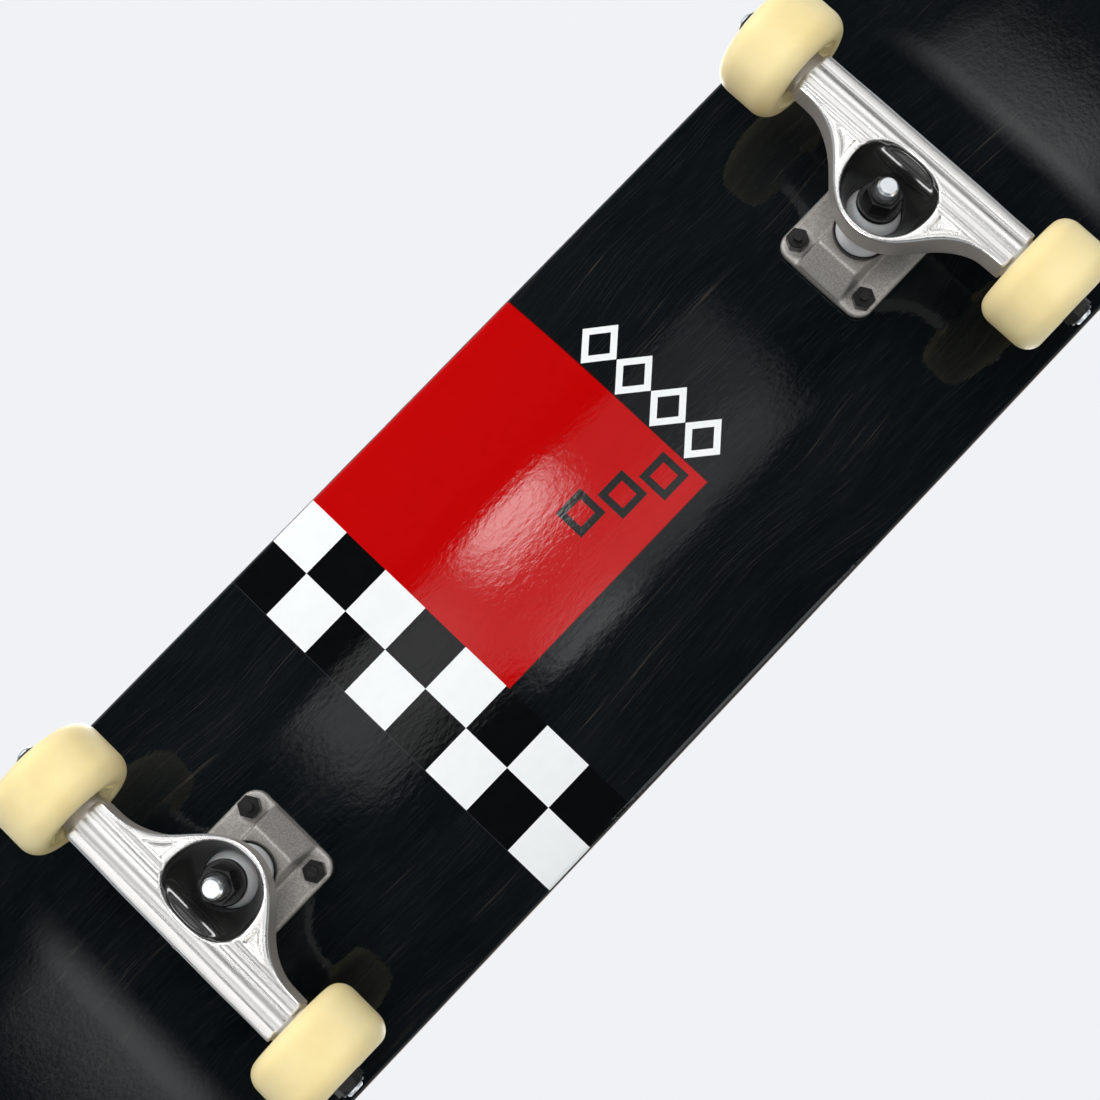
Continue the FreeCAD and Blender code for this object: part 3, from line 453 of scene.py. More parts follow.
def hanger_field(x, y, z):
    outline = hanger_outline(x, y, z)
    above_road = road_face(x, y) - z
    # the face towards the deck: level over the wings, and in the ring's plane round the kingpin
    lean = (x - KINGPIN_FOOT) * math.sin(KINGPIN_LEAN)
    ring_plane = (lean - RING_BOTTOM + 0.8) / math.cos(KINGPIN_LEAN)
    near_ring = soft_step(52.0 - np.abs(y), 0, 34) * soft_step(30.0 - x, 0, 14)
    deck_face = WING_TOP + (ring_plane - WING_TOP) * near_ring
    body = smooth_max(outline, above_road, 1.6)
    body = smooth_max(body, z - deck_face, 4.0)
    # the beam, and the stubs at its ends that the wheels' washers bear on
    rod = np.hypot(x - AXLE[0], z - AXLE[1])
    section = rounded_box(x, z, BEAM_CENTRE, (BEAM_DEPTH, BEAM_HEIGHT), 4.0)
    beam = np.maximum(section, np.abs(y) - BEAM_LENGTH)
    body = smooth_min(body, np.maximum(beam, above_road), 1.2)
    body = smooth_min(body, np.maximum(rod - STUB_RADIUS, np.abs(y) - STUB_END), 0.5)
    # the nose that turns in the pivot cup
    along, out = along_steering(x, y, z)
    radius = NOSE_RADIUS + 0.17 * np.clip(along - 6, 0, 26)
    shank = np.maximum(out - radius, along - 30)
    nose = np.where(along < 0, np.hypot(along, out) - NOSE_RADIUS, shank)
    body = smooth_min(body, nose, 4.0)
    # the bushings' seats on both sides of the ring, the bowl, and the axle's sleeve that crosses it
    down, spread = along_kingpin(x, y, z)
    body = np.maximum(body, -np.maximum(spread - BOTTOM_SEAT, down - RING_BOTTOM))
    bowl = smooth_max(bowl_outline(x, y, z), RING_TOP - down, 2.0)
    bowl = np.minimum(bowl, np.maximum(spread - TOP_SEAT, RING_TOP - down))
    body = smooth_max(body, -bowl, 1.0)
    body = smooth_min(body, np.maximum(rod - SLEEVE_RADIUS, np.abs(y) - SLEEVE_END), 1.5)
    body = np.maximum(body, RING_HOLE - spread)
    return np.maximum(body, AXLE_BORE - rod)


def baseplate_field(x, y, z):
    outline = rounded_box(x, y, PLATE_CENTRE, PLATE_HALF, PLATE_CORNER)
    half = PLATE_THICKNESS / 2
    plate = smooth_max(outline, np.abs(z + half) - half, 2.4)
    plate = np.maximum(plate, z)
    # the sloping slab under the bushings
    down, spread = along_kingpin(x, y, z)
    ramp = ((x + 35.0) * -0.924 + (z + 6.6) * -0.73) / 1.178
    back = (x - 15.0) * 0.735 + (z + 4.0) * -0.678
    slab = smooth_max(np.maximum(down - CUP_SEAT, back), ramp, 1.0)
    flank = np.abs(y) - 12.5 - 0.10 * (z + 12)
    slab = smooth_max(slab, flank, 1.6)
    slab = np.maximum(slab, np.maximum(z + 1, outline + 0.8))
    body = smooth_min(plate, slab, 1.4)
    # the boss for the pivot cup
    along, out = along_steering(x, y, z)
    boss = smooth_max(out - BOSS_RADIUS, np.abs(along + 3.35) - 4.85, 1.8)
    web = np.maximum(np.abs(y) - 7.5, rounded_box(x, z, (28.0, -6.5), (8.5, 6.0), 2.0))
    body = smooth_min(body, smooth_min(boss, web, 3.0), 4.0)
    body = np.maximum(body, -np.maximum(out - RIM_BORE, 1.5 - along))
    body = np.maximum(body, -np.maximum(out - CUP_BORE, -6.7 - along))
    body = np.maximum(body, KINGPIN_HOLE - spread)
    # the bolts' holes, with a round pocket for each nut
    corner = np.hypot(np.abs(x) - BOLTS[0], np.abs(y) - BOLTS[1])
    body = smooth_max(body, -np.maximum(corner - NUT_POCKET, z - NUT_SEAT), 0.8)
    body = np.maximum(body, BOLT_HOLE - corner)
    return np.maximum(body, z)


def surface_mesh(name, field, low, high, step):
    """A closed mesh of quads where the field is zero, with one point in each grid cell that it crosses.

    Returns the mesh and its points, still in millimetres.
    """
    ticks = [np.arange(a, b + step, step) for a, b in zip(low, high)]
    values = field(*np.meshgrid(*ticks, indexing="ij"))
    shape = tuple(n - 1 for n in values.shape)
    total, count = np.zeros(shape + (3,)), np.zeros(shape)

    def corner(dx, dy, dz):
        return values[dx:dx + shape[0], dy:dy + shape[1], dz:dz + shape[2]]

    for axis in range(3):
        others = [a for a in range(3) if a != axis]
        for u in (0, 1):
            for v in (0, 1):
                start = [0, 0, 0]
                start[others[0]], start[others[1]] = u, v
                end = list(start)
                end[axis] = 1
                first, second = corner(*start), corner(*end)
                crossed = (first < 0) != (second < 0)
                share = np.where(crossed, first / np.where(crossed, first - second, 1), 0)
                for a in range(3):
                    total[..., a] += np.where(crossed, start[a] + (share if a == axis else 0), 0)
                count += crossed
    used = count > 0
    number = np.full(shape, -1)
    number[used] = np.arange(used.sum())
    points = np.argwhere(used) + total[used] / count[used][:, None]
    points = np.array(low) + points * step
    quads = []
    for axis in range(3):
        others = [a for a in range(3) if a != axis]
        size = list(values.shape)
        size[axis] -= 1
        near = [slice(0, n) for n in size]
        far = list(near)
        far[axis] = slice(1, size[axis] + 1)
        before, after = values[tuple(near)] < 0, values[tuple(far)] < 0
        inner = np.zeros(size, bool)
        keep = [slice(None)] * 3
        keep[others[0]], keep[others[1]] = slice(1, -1), slice(1, -1)
        inner[tuple(keep)] = True
        places = np.argwhere((before != after) & inner)
        outward = before[tuple(places.T)]
        if axis == 1:
            outward = ~outward
        ring = []
        for u, v in ((0, 0), (1, 0), (1, 1), (0, 1)):
            cell = places.copy()
            cell[:, others[0]] -= u
            cell[:, others[1]] -= v
            ring.append(number[tuple(cell.T)])
        ring = np.stack(ring, 1)
        quads.append(np.where(outward[:, None], ring, ring[:, ::-1]))
    for _ in range(2):
        points = onto_surface(field, points)
    mesh = bpy.data.meshes.new(name)
    mesh.from_pydata((points * MM).tolist(), [], np.concatenate(quads).tolist())
    mesh.shade_smooth()
    return mesh, points


def onto_surface(field, points, reach=0.05):
    """Moves points along the field's slope until it is nearly zero there."""
    here = field(*points.T)
    slope = np.stack([field(*(points + reach * step).T) - here for step in np.eye(3)], 1) / reach
    steep = np.maximum((slope ** 2).sum(1), 0.2)
    move = slope * (here / steep)[:, None]
    return points - np.clip(move, -0.35, 0.35)


def truck_frame(end):
    """A truck's own frame, as a matrix: the rear truck is the front one turned half round."""
    low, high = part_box(end + "_mounting_bolts")
    turn = Matrix.Rotation(math.pi if end == "rear" else 0.0, 4, "Z")
    return Matrix.Translation(((low.x + high.x) / 2, 0.0, UNDERSIDE)) @ turn


def place_on_truck(mesh, end):
    """An object with this truck-frame mesh, carried to the front or the rear truck."""
    own = mesh.copy()
    own.transform(truck_frame(end))
    return new_object(f"{end}_{mesh.name}", own)


def build_castings():
    """The two castings' meshes; the hanger's has its black paint and its polish stored as attributes."""
    step = 0.7
    hanger, points = surface_mesh("hanger_casting", hanger_field, low=(-27, -68, -65),
                                  high=(32, 68, -8), step=step)
    x, y, z = points.T
    along, out = along_kingpin(x, y, z)
    face = road_face(x, y)
    mouth = np.minimum(bowl_outline(x, y, z), out - TOP_SEAT)
    paint = soft_step(0.75 - mouth, 0, 0.5) * soft_step(z - face, 0.5, 1.2)
    paint = paint * soft_step(along, RING_TOP - 1.0, RING_TOP - 0.4)
    polish = soft_step(face + 1.7 - z, 0, 0.8) * soft_step(BEAM_LENGTH + 0.1 - np.abs(y), 0, 0.5)
    for label, values in (("paint", paint), ("polish", polish)):
        attribute = hanger.attributes.new(label, "FLOAT", "POINT")
        attribute.data.foreach_set("value", values.astype(np.float32))
    baseplate, _ = surface_mesh("baseplate_casting", baseplate_field, low=(-38, -29, -27),
                                high=(42, 29, 1), step=step)
    return hanger, baseplate


# -------- turned pieces

def lathe(name, profile, steps=96):
    """A closed ring of quads: the profile's (radius, height) points, in millimetres, turned about Z."""
    turn = np.arange(steps) * (2 * math.pi / steps)
    radius, height = np.array(profile).T * MM
    x = radius[:, None] * np.cos(turn)
    y = radius[:, None] * np.sin(turn)
    z = np.repeat(height[:, None], steps, axis=1)
    vertices = np.stack([x, y, z], -1).reshape(-1, 3)
    mesh = bpy.data.meshes.new(name)
    mesh.from_pydata(vertices.tolist(), [], ring_faces(len(profile), steps, closed=True))
    work = bmesh.new()
    work.from_mesh(mesh)
    bmesh.ops.recalc_face_normals(work, faces=work.faces)
    work.to_mesh(mesh)
    work.free()
    mesh.shade_smooth()
    return mesh


def rounded_corner(centre, size, start, end, steps=7):
    """Profile points round a corner, from one angle to another."""
    points = []
    for angle in np.linspace(math.radians(start), math.radians(end), steps):
        points.append((centre[0] + size[0] * math.cos(angle), centre[1] + size[1] * math.sin(angle)))
    return points


def bushing_profile(low, high, low_radius, high_radius, swell):
    """Half the section of a soft bushing: its sides bulge a little between rounded rims."""
    bore, rim = 5.2, 0.7
    bottom = rounded_corner((low_radius - rim, low + rim), (rim, rim), -90, 0)
    side = []
    for share in np.linspace(0.1, 0.9, 12):
        radius = low_radius + (high_radius - low_radius) * share
        side.append((radius + swell * math.sin(share * math.pi), low + (high - low) * share))
    top = rounded_corner((high_radius - rim, high - rim), (rim, rim), 0, 90)
    return [(bore, low)] + bottom + side + top + [(bore, high)]


def kingpin_stack(end):
    """The frame of an end's kingpin: Z runs along it from its foot in the deck towards the road."""
    lean = Matrix.Rotation(math.pi - KINGPIN_LEAN, 4, "Y")
    return truck_frame(end) @ Matrix.Translation((KINGPIN_FOOT * MM, 0, 0)) @ lean


def dress_bushings():
    """Soft bushings turned about each kingpin, reaching from their cups to the hanger's ring, in place of
    the CAD ones.
    """
    white = moulded_material("bushing_urethane", srgb(232, 233, 234), srgb(214, 216, 218), scale=900.0,
                             smooth=0.34, dull=0.48, Subsurface_Weight=0.15, Subsurface_Scale=0.003)
    bottom = bushing_profile(BUSHING_FOOT, RING_BOTTOM, low_radius=12.3, high_radius=12.3, swell=0.3)
    top = bushing_profile(RING_TOP, BUSHING_END, low_radius=12.7, high_radius=8.6, swell=0.2)
    profiles = {"bottom_bushing": (bottom, BUSHING_FOOT, RING_BOTTOM),
                "top_bushing": (top, BUSHING_END, RING_TOP)}
    for end in ENDS:
        stack = kingpin_stack(end)
        for part, (profile, held, moving) in profiles.items():
            name = f"{end}_soft_{part}"
            made = new_object(name, lathe(name, profile))
            made.data.materials.append(white)
            made.data.transform(stack)
            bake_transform(made)
            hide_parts(f"{end}_{part}")


def build_wheel():
    """A wheel turned about Z: a flat tread, soft shoulders, and ribs round the hub on both sides."""
    # half the section, as (radius, height) points, from the tread round to the bearing's seat
    shoulder = rounded_corner((20.4, 7.2), (7.6, 8.8), 0, 90, steps=26)
    lip = rounded_corner((19.4, 14.9), (1.1, 1.1), 90, 180, steps=8)
    dish = [(17.6, 14.2), (17.0, 13.8), (16.4, 13.4), (15.8, 13.0), (15.2, 12.7), (14.6, 12.4)]
    hub = [(14.0, 12.3), (12.6, 12.3), (11.0, 12.3), (11.0, 5.0), (8.2, 5.0)]
    half = [(28.0, 3.8)] + shoulder + lip + dish + hub
    profile = half + [(radius, -height) for radius, height in reversed(half)]
    mesh = lathe("wheel_tyre", profile, steps=216)
    points = np.empty(len(mesh.vertices) * 3)
    mesh.vertices.foreach_get("co", points)
    points = points.reshape(-1, 3)
    radius = np.hypot(points[:, 0], points[:, 1]) / MM
    angle = np.arctan2(points[:, 1], points[:, 0])
    ribs, rib_height = 12, 0.9 * MM
    rib = soft_step(np.cos(angle * ribs), 0.45, 0.8)
    in_dish = soft_step(radius, 14.2, 14.9) * soft_step(-radius, -17.9, -17.2)
    in_dish = in_dish * (np.abs(points[:, 2]) > 12 * MM)
    points[:, 2] += np.sign(points[:, 2]) * rib * in_dish * rib_height
    mesh.vertices.foreach_set("co", points.ravel())
    mesh.update()
    return mesh


def dress_wheels():
    tyre = build_wheel()
    tyre.materials.append(urethane_material())
    for corner in CORNERS:
        low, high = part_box(corner + "_wheel")
        own = tyre.copy()
        own.transform(Matrix.Translation((low + high) / 2) @ Matrix.Rotation(math.pi / 2, 4, "X"))
        made = new_object(corner + "_tyre", own)
        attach(made, corner + "_roller")
        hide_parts(corner + "_wheel")


# -------- materials

def wood_grain(finish):
    """Long uneven grain along the board: thin pale streaks, broad clouds and fine pores."""
    bend = finish.noise(7.0, finish.scaled(1.0, 0.9, 1.0), detail=1.0)
    swing = finish.times(finish.minus(bend, 0.5), 0.04)
    x, y, z = finish.axes()
    wavy = finish.node("CombineXYZ", {0: x, 1: finish.plus(y, swing), 2: z})
    patches = finish.noise(11.0, finish.scaled(0.7, 2.4, 1.0, wavy), detail=4.0, roughness=0.6)
    fibres = finish.noise(30.0, finish.scaled(0.55, 20.0, 1.0, wavy), detail=8.0, roughness=0.72)
    streaks = finish.times(finish.rise(fibres, 0.56, 0.74), finish.rise(patches, 0.44, 0.66))
    hairs = finish.noise(55.0, finish.scaled(0.40, 26.0, 1.0, wavy), detail=5.0, roughness=0.7)
    streaks = finish.plus(finish.times(streaks, 0.6), finish.times(finish.rise(hairs, 0.56, 0.72), 0.07))
    pores = finish.noise(150.0, finish.scaled(0.35, 10.0, 1.0, wavy))
    return streaks, patches, pores


def underside_material():
    """Black-stained veneer under lacquer, printed with a red panel, a checker and plain geometric marks."""
    finish = Finish("deck_print", Specular_IOR_Level=0.02, Coat_Weight=1.0, Coat_Roughness=0.05,
                    Coat_IOR=1.36)
    streaks, patches, pores = wood_grain(finish)
    x, y, _ = finish.axes()
    stain = finish.ramp(patches, (0.35, srgb(5, 9, 11)), (0.7, srgb(15, 19, 22)))
    stain = finish.mix(finish.rise(pores, 0.4, 0.8), stain, srgb(18, 22, 24))
    wood = finish.mix(streaks, stain, srgb(84, 76, 68))

    # The checker's two rows run across the board, next to the red panel.
    pitch = 25.9 * MM
    first_column = -79 * MM
    red_low, red_high, red_side = -68.4 * MM, 63.7 * MM, 26.8 * MM
    row_edge = red_low - 26.5 * MM
    checker_low = row_edge - 26.5 * MM

    column = finish.math("DIVIDE", finish.minus(y, first_column - pitch), pitch)
    column = finish.math("MAXIMUM", finish.math("FLOOR", column), 0.0)
    second_row = finish.math("LESS_THAN", x, row_edge)
    parity = finish.math("MODULO", finish.plus(column, second_row), 2.0)
    in_checker = finish.within(x, checker_low, red_low)
    in_red_length = finish.within(x, red_low, red_high)
    in_red_width = finish.math("LESS_THAN", y, red_side)
    in_red = finish.times(in_red_length, in_red_width)

    ink_wear = finish.noise(160.0, detail=4.0)
    red = finish.mix(ink_wear, srgb(180, 1, 2), srgb(188, 2, 3))
    white = finish.mix(ink_wear, srgb(236, 240, 241), srgb(244, 247, 248))
    black = finish.mix(ink_wear, srgb(5, 6, 7), srgb(11, 12, 13))
    squares = finish.mix(parity, white, black)
    colour = finish.mix(in_checker, wood, squares)
    colour = finish.mix(in_red, colour, red)

    # A thin dark key line along two of the red panel's edges, and one along the checker's outer edge.
    line = 0.45 * MM
    side_line = finish.times(finish.within(y, red_side - line, red_side), in_red_length)
    nose_line = finish.times(finish.within(x, red_high - line, red_high), in_red_width)
    colour = finish.mix(finish.times(finish.largest(side_line, nose_line), 0.8), colour, srgb(40, 8, 10))
    edge_line = finish.within(x, checker_low - line, checker_low)
    colour = finish.mix(finish.times(edge_line, 0.5), colour, srgb(45, 50, 52))

    # Four hollow diamonds in white standing on the red panel's nose edge.
    diamond_pitch = 22 * MM
    first_diamond = -66 * MM
    along = finish.math("DIVIDE", finish.minus(y, first_diamond), diamond_pitch)
    along = finish.times(finish.distance(finish.math("FRACT", along), 0.5), diamond_pitch)
    outwards = finish.distance(x, red_high + 13.2 * MM)
    spread = finish.plus(finish.times(along, 1.18), outwards)
    diamonds = finish.within(spread, 7.8 * MM, 12.8 * MM)
    in_row = finish.within(y, first_diamond, first_diamond + 4 * diamond_pitch)
    colour = finish.mix(finish.times(diamonds, in_row), colour, white)

    # Three dark hollow squares that step towards the corner between the panel's nose and side edges.
    frame_pitch = 19.5 * MM
    first_frame = 3 * MM
    steps = finish.math("DIVIDE", finish.minus(x, first_frame), frame_pitch)
    lengthways = finish.times(finish.distance(finish.math("FRACT", steps), 0.5), frame_pitch)
    drift = finish.plus(finish.times(finish.math("FLOOR", steps), 8 * MM), -6 * MM)
    size = finish.largest(finish.distance(y, drift), lengthways)
    frames = finish.within(size, 4.6 * MM, 8.2 * MM)
    in_row = finish.within(x, first_frame, first_frame + 3 * frame_pitch)
    colour = finish.mix(finish.times(frames, in_row), colour, srgb(30, 31, 31))

    # Orange peel and a slower ripple in the lacquer, over the grain's relief where the wood is bare.
    peel = finish.noise(500.0, finish.scaled(0.55, 1.0, 1.0), detail=2.0)
    ripple = finish.noise(48.0, finish.scaled(0.7, 1.6, 1.0), detail=1.0)
    bare_wood = finish.math("SUBTRACT", 1.0, finish.largest(in_checker, in_red), clamp=True)
    grain_relief = finish.times(bare_wood, streaks)
    height = finish.plus(finish.times(peel, 0.042 * MM), finish.times(ripple, 0.07 * MM))
    wood_height = finish.plus(height, finish.times(grain_relief, 0.03 * MM))
    smudge = finish.noise(22.0, detail=5.0)
    rough = finish.node("MapRange", {"Value": smudge, "From Min": 0.3, "From Max": 0.7,
                                     "To Min": 0.36, "To Max": 0.5})
    return finish.feed(colour, rough, wood_height, Coat_Normal=finish.bump(height))


def edge_material():
    """The deck's sides: seven maple plies, the outer two black, with end grain and sanding marks."""
    finish = Finish("deck_plies", Specular_IOR_Level=0.35)
    ply = finish.attribute("ply")
    streak = finish.noise(60.0, finish.scaled(1.0, 1.0, 9.0), detail=5.0)
    seven = finish.times(ply, 7.0)
    layer = finish.math("FLOOR", seven)
    odd = finish.math("MODULO", layer, 2.0)
    maple = finish.mix(odd, srgb(201, 168, 120), srgb(178, 141, 96))
    maple = finish.mix(finish.times(finish.rise(streak, 0.35, 0.75), 0.55), maple, srgb(140, 104, 66))
    glue = finish.math("LESS_THAN", finish.math("FRACT", seven), 0.07)
    maple = finish.mix(finish.times(glue, 0.6), maple, srgb(70, 48, 30))
    stained = finish.minus(1.0, finish.within(ply, 0.17, 0.86))
    blotch = finish.noise(40.0, detail=4.0)
    black = finish.mix(blotch, srgb(10, 12, 14), srgb(26, 28, 30))
    colour = finish.mix(stained, maple, black)
    rough = finish.ramp(streak, (0.3, 0.38), (0.7, 0.62))
    sanding = finish.noise(420.0, finish.scaled(1.0, 1.0, 6.0))
    height = finish.plus(finish.times(sanding, 0.03 * MM), finish.times(glue, -0.04 * MM))
    return finish.feed(colour, rough, height)


def grip_material():
    """Black mineral grit: packed grains with a scatter of glinting ones."""
    finish = Finish("grip_grit", Specular_IOR_Level=0.35)
    grains = finish.cells(1500.0)
    coarse = finish.cells(620.0)
    scuff = finish.noise(14.0, detail=5.0, roughness=0.6)
    dark = finish.mix(finish.rise(scuff, 0.4, 0.75), srgb(17, 17, 18), srgb(34, 34, 35))
    glint = finish.math("LESS_THAN", coarse, 0.16)
    sparkle = finish.times(glint, finish.rise(finish.noise(300.0), 0.5, 0.6))
    colour = finish.mix(sparkle, dark, srgb(96, 98, 102))
    rough = finish.ramp(sparkle, (0.0, 0.93), (1.0, 0.4))
    height = finish.plus(finish.times(grains, -0.22 * MM), finish.times(coarse, -0.2 * MM))
    return finish.feed(colour, rough, height, strength=0.8)


def cast_relief(finish):
    """The fine orange-peel skin of a casting, as a height."""
    skin = finish.noise(900.0, roughness=0.6)
    dents = finish.noise(240.0, detail=2.0)
    return finish.plus(finish.times(skin, 0.05 * MM), finish.times(dents, 0.06 * MM))


def hanger_material():
    """Aluminium hanger: tumbled bright on its road face, duller cast sides, and a black bowl."""
    finish = Finish("hanger_metal")
    polish = finish.attribute("polish")
    paint = finish.attribute("paint")
    brush = finish.noise(260.0, finish.scaled(1.0, 0.10, 1.0), detail=5.0, roughness=0.65)
    scratches = finish.rise(finish.noise(900.0, finish.scaled(1.0, 0.02, 1.0), detail=2.0), 0.45, 0.8)
    cloud = finish.noise(30.0, detail=4.0)
    bright = finish.mix(brush, srgb(229, 228, 227), srgb(217, 216, 214))
    bright = finish.mix(finish.times(scratches, 0.2), bright, srgb(176, 174, 172))
    dull = finish.mix(cloud, srgb(176, 172, 166), srgb(150, 146, 140))
    colour = finish.mix(polish, dull, bright)
    colour = finish.mix(paint, colour, finish.mix(cloud, srgb(18, 18, 18), srgb(28, 28, 27)))
    polished = finish.ramp(brush, (0.3, 0.24), (0.75, 0.33))
    cast = finish.ramp(cloud, (0.3, 0.38), (0.7, 0.56))
    rough = finish.mix(polish, cast, polished)
    rough = finish.mix(paint, rough, finish.ramp(cloud, (0.3, 0.12), (0.7, 0.2)))
    bare = finish.minus(1.0, paint)
    metal = finish.times(bare, finish.plus(finish.times(polish, 0.28), 0.72))
    height = finish.plus(finish.times(brush, 0.02 * MM), finish.times(cast_relief(finish), 0.5))
    return finish.feed(colour, rough, height, strength=0.6, Metallic=metal)


def baseplate_material():
    """Satin cast aluminium with a mottled skin, darker in its pits."""
    finish = Finish("baseplate_cast", Metallic=0.68)
    skin = finish.noise(1100.0, detail=4.0, roughness=0.65)
    cloud = finish.noise(46.0, detail=4.0)
    colour = finish.mix(finish.rise(skin, 0.35, 0.7), srgb(150, 147, 142), srgb(182, 180, 176))
    colour = finish.mix(finish.times(cloud, 0.35), colour, srgb(104, 100, 95))
    rough = finish.ramp(skin, (0.3, 0.55), (0.75, 0.36))
    return finish.feed(colour, rough, cast_relief(finish), strength=0.55)


def urethane_material():
    """Butter-coloured poured urethane: soft, slightly translucent, satin where it is moulded."""
    finish = Finish("wheel_urethane", Subsurface_Weight=0.25, Subsurface_Scale=0.004,
                    Specular_IOR_Level=0.45, Coat_Weight=0.12, Coat_Roughness=0.25)
    finish.surface.inputs["Subsurface Radius"].default_value = (1.0, 0.65, 0.3)
    cloud = finish.noise(38.0, detail=4.0, roughness=0.55)
    colour = finish.mix(finish.rise(cloud, 0.3, 0.7), srgb(240, 220, 160), srgb(246, 229, 174))
    dust = finish.noise(500.0)
    rough = finish.ramp(dust, (0.3, 0.36), (0.7, 0.48))
    height = finish.plus(finish.times(dust, 0.02 * MM), finish.times(cloud, 0.08 * MM))
    return finish.feed(colour, rough, height)


def steel_material(name, light, dark, smooth, dull, metallic=1.0):
    """Plated or oxidised steel: fine turning marks and cloudy wear."""
    finish = Finish(name, Metallic=metallic)
    turned = finish.noise(800.0, finish.scaled(1.0, 0.25, 1.0))
    cloud = finish.noise(90.0, detail=4.0)
    colour = finish.mix(cloud, light, dark)
    rough = finish.ramp(turned, (0.3, smooth), (0.75, dull))
    height = finish.times(finish.plus(turned, cloud), 0.02 * MM)
    return finish.feed(colour, rough, height)


def moulded_material(name, light, dark, scale, smooth, dull, **constants):
    """Moulded plastic or urethane with a fine grain, at this scale, and faint handling marks."""
    finish = Finish(name, Specular_IOR_Level=0.5, **constants)
    cloud = finish.noise(120.0, detail=4.0)
    grain = finish.noise(scale, detail=2.0)
    colour = finish.mix(cloud, light, dark)
    rough = finish.ramp(grain, (0.3, smooth), (0.75, dull))
    return finish.feed(colour, rough, finish.times(grain, 0.02 * MM))


# -------- assembling the looks

def dress_deck():
    deck = build_deck()
    deck.data.materials.append(underside_material())
    deck.data.materials.append(edge_material())
    ply = np.zeros(len(deck.data.vertices), np.float32)
    deck.data.attributes["ply"].data.foreach_get("value", ply)
    print_depth = 0.06
    for polygon in deck.data.polygons:
        lowest = min(ply[v] for v in polygon.vertices)
        polygon.material_index = 0 if lowest < print_depth else 1
    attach(deck, "board")
    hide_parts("deck")


def dress_castings():
    hanger, baseplate = build_castings()
    hanger.materials.append(hanger_material())
    baseplate.materials.append(baseplate_material())
    for end in ENDS:
        body = place_on_truck(hanger, end)
        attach(body, end + "_truck")
        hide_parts(end + "_hanger")
        plate = place_on_truck(baseplate, end)
        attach(plate, "board")
        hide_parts(end + "_baseplate")


def dress_cad_nodes():
    """Gives the CAD nodes that stay in sight their finishes."""
    black_steel = steel_material("black_oxide", srgb(9, 9, 10), srgb(17, 17, 18),
                                 smooth=0.26, dull=0.42, metallic=0.3)
    zinc = steel_material("zinc_plate", srgb(244, 247, 250), srgb(228, 233, 238),
                          smooth=0.26, dull=0.42)
    bearing = steel_material("bearing_steel", srgb(190, 192, 195), srgb(160, 163, 168),
                             smooth=0.14, dull=0.3)
    black_plastic = moulded_material("black_nylon", srgb(20, 20, 21), srgb(33, 33, 34), scale=1500.0,
                                     smooth=0.35, dull=0.5)
    give(grip_material(), "grip_tape")
    for end in ENDS:
        for part in ("mounting_bolts", "mounting_nuts", "kingpin_nut", "bottom_cup", "top_cup",
                     "axle_nuts"):
            give(black_steel, f"{end}_{part}")
        for part in ("kingpin", "axle", "speed_washers", "spacers"):
            give(zinc, f"{end}_{part}")
        give(bearing, end + "_inner_races")
        give(black_plastic, end + "_pivot_cup")
    for corner in CORNERS:
        give(bearing, corner + "_outer_races", corner + "_balls", corner + "_shields")
        give(black_plastic, corner + "_cages")


# -------- stage, light and camera

PALE = srgb(241, 242, 246)


def build_world():
    """A pale backdrop for the camera, and for all else a sky that is bright above and dark below."""
    world = bpy.data.worlds.new("studio")
    bpy.context.scene.world = world
    world.use_nodes = True
    tree = world.node_tree
    tree.nodes.clear()
    backdrop = add_node(tree, "Background", {"Color": PALE})
    direction = add_node(tree, "TexCoord", output="Generated")
    upward = add_node(tree, "SeparateXYZ", {0: direction}, output=2)
    lift = add_node(tree, "MapRange", {"Value": upward, "From Min": -0.35, "From Max": 0.3,
                                       "To Min": 0.02, "To Max": 0.75})
    sky = add_node(tree, "Background", {"Color": (0.9, 0.95, 1.0, 1.0), "Strength": lift})
    to_camera = add_node(tree, "LightPath", output="Is Camera Ray")
    choose = add_node(tree, "MixShader", {0: to_camera, 1: sky, 2: backdrop})
    add_node(tree, "OutputWorld", {0: choose}, output=None)


def floor_material():
    """A pale matt floor that only the camera sees, from above, and that clears away from the board."""
    material = bpy.data.materials.new("pale_floor")
    material.use_nodes = True
    tree = material.node_tree
    tree.nodes.clear()
    matt_share, glow = 0.39, 0.42
    matt = add_node(tree, "BsdfDiffuse", {"Color": [matt_share * value for value in PALE[:3]] + [1.0]})
    bright = add_node(tree, "Emission", {"Color": PALE, "Strength": glow})
    surface = add_node(tree, "AddShader", {0: matt, 1: bright})
    clear = add_node(tree, "BsdfTransparent")
    to_camera = add_node(tree, "LightPath", output="Is Camera Ray")
    below = add_node(tree, "NewGeometry", output="Backfacing")
    from_above = add_node(tree, "Math", {0: to_camera, 1: below}, operation="SUBTRACT", use_clamp=True)
    place = add_node(tree, "NewGeometry", output="Position")
    distance = add_node(tree, "VectorMath", {0: place}, output="Value", operation="LENGTH")
    fade = add_node(tree, "MapRange", {"Value": distance, "From Min": 0.8, "From Max": 3.0, "To Min": 1.0,
                                       "To Max": 0.0}, interpolation_type="SMOOTHSTEP")
    amount = add_node(tree, "Math", {0: from_above, 1: fade}, operation="MULTIPLY")
    choose = add_node(tree, "MixShader", {0: amount, 1: clear, 2: surface})
    add_node(tree, "OutputMaterial", {0: choose}, output=None)
    return material


def build_floor():
    radius, gap = 6.0, 0.4 * MM
    mesh = bpy.data.meshes.new("studio_floor")
    work = bmesh.new()
    bmesh.ops.create_circle(work, cap_ends=True, segments=96, radius=radius)
    bmesh.ops.translate(work, verts=work.verts, vec=(0, 0, cad_box[0].z - gap))
    work.to_mesh(mesh)
    work.free()
    mesh.materials.append(floor_material())
    new_object("studio_floor", mesh)


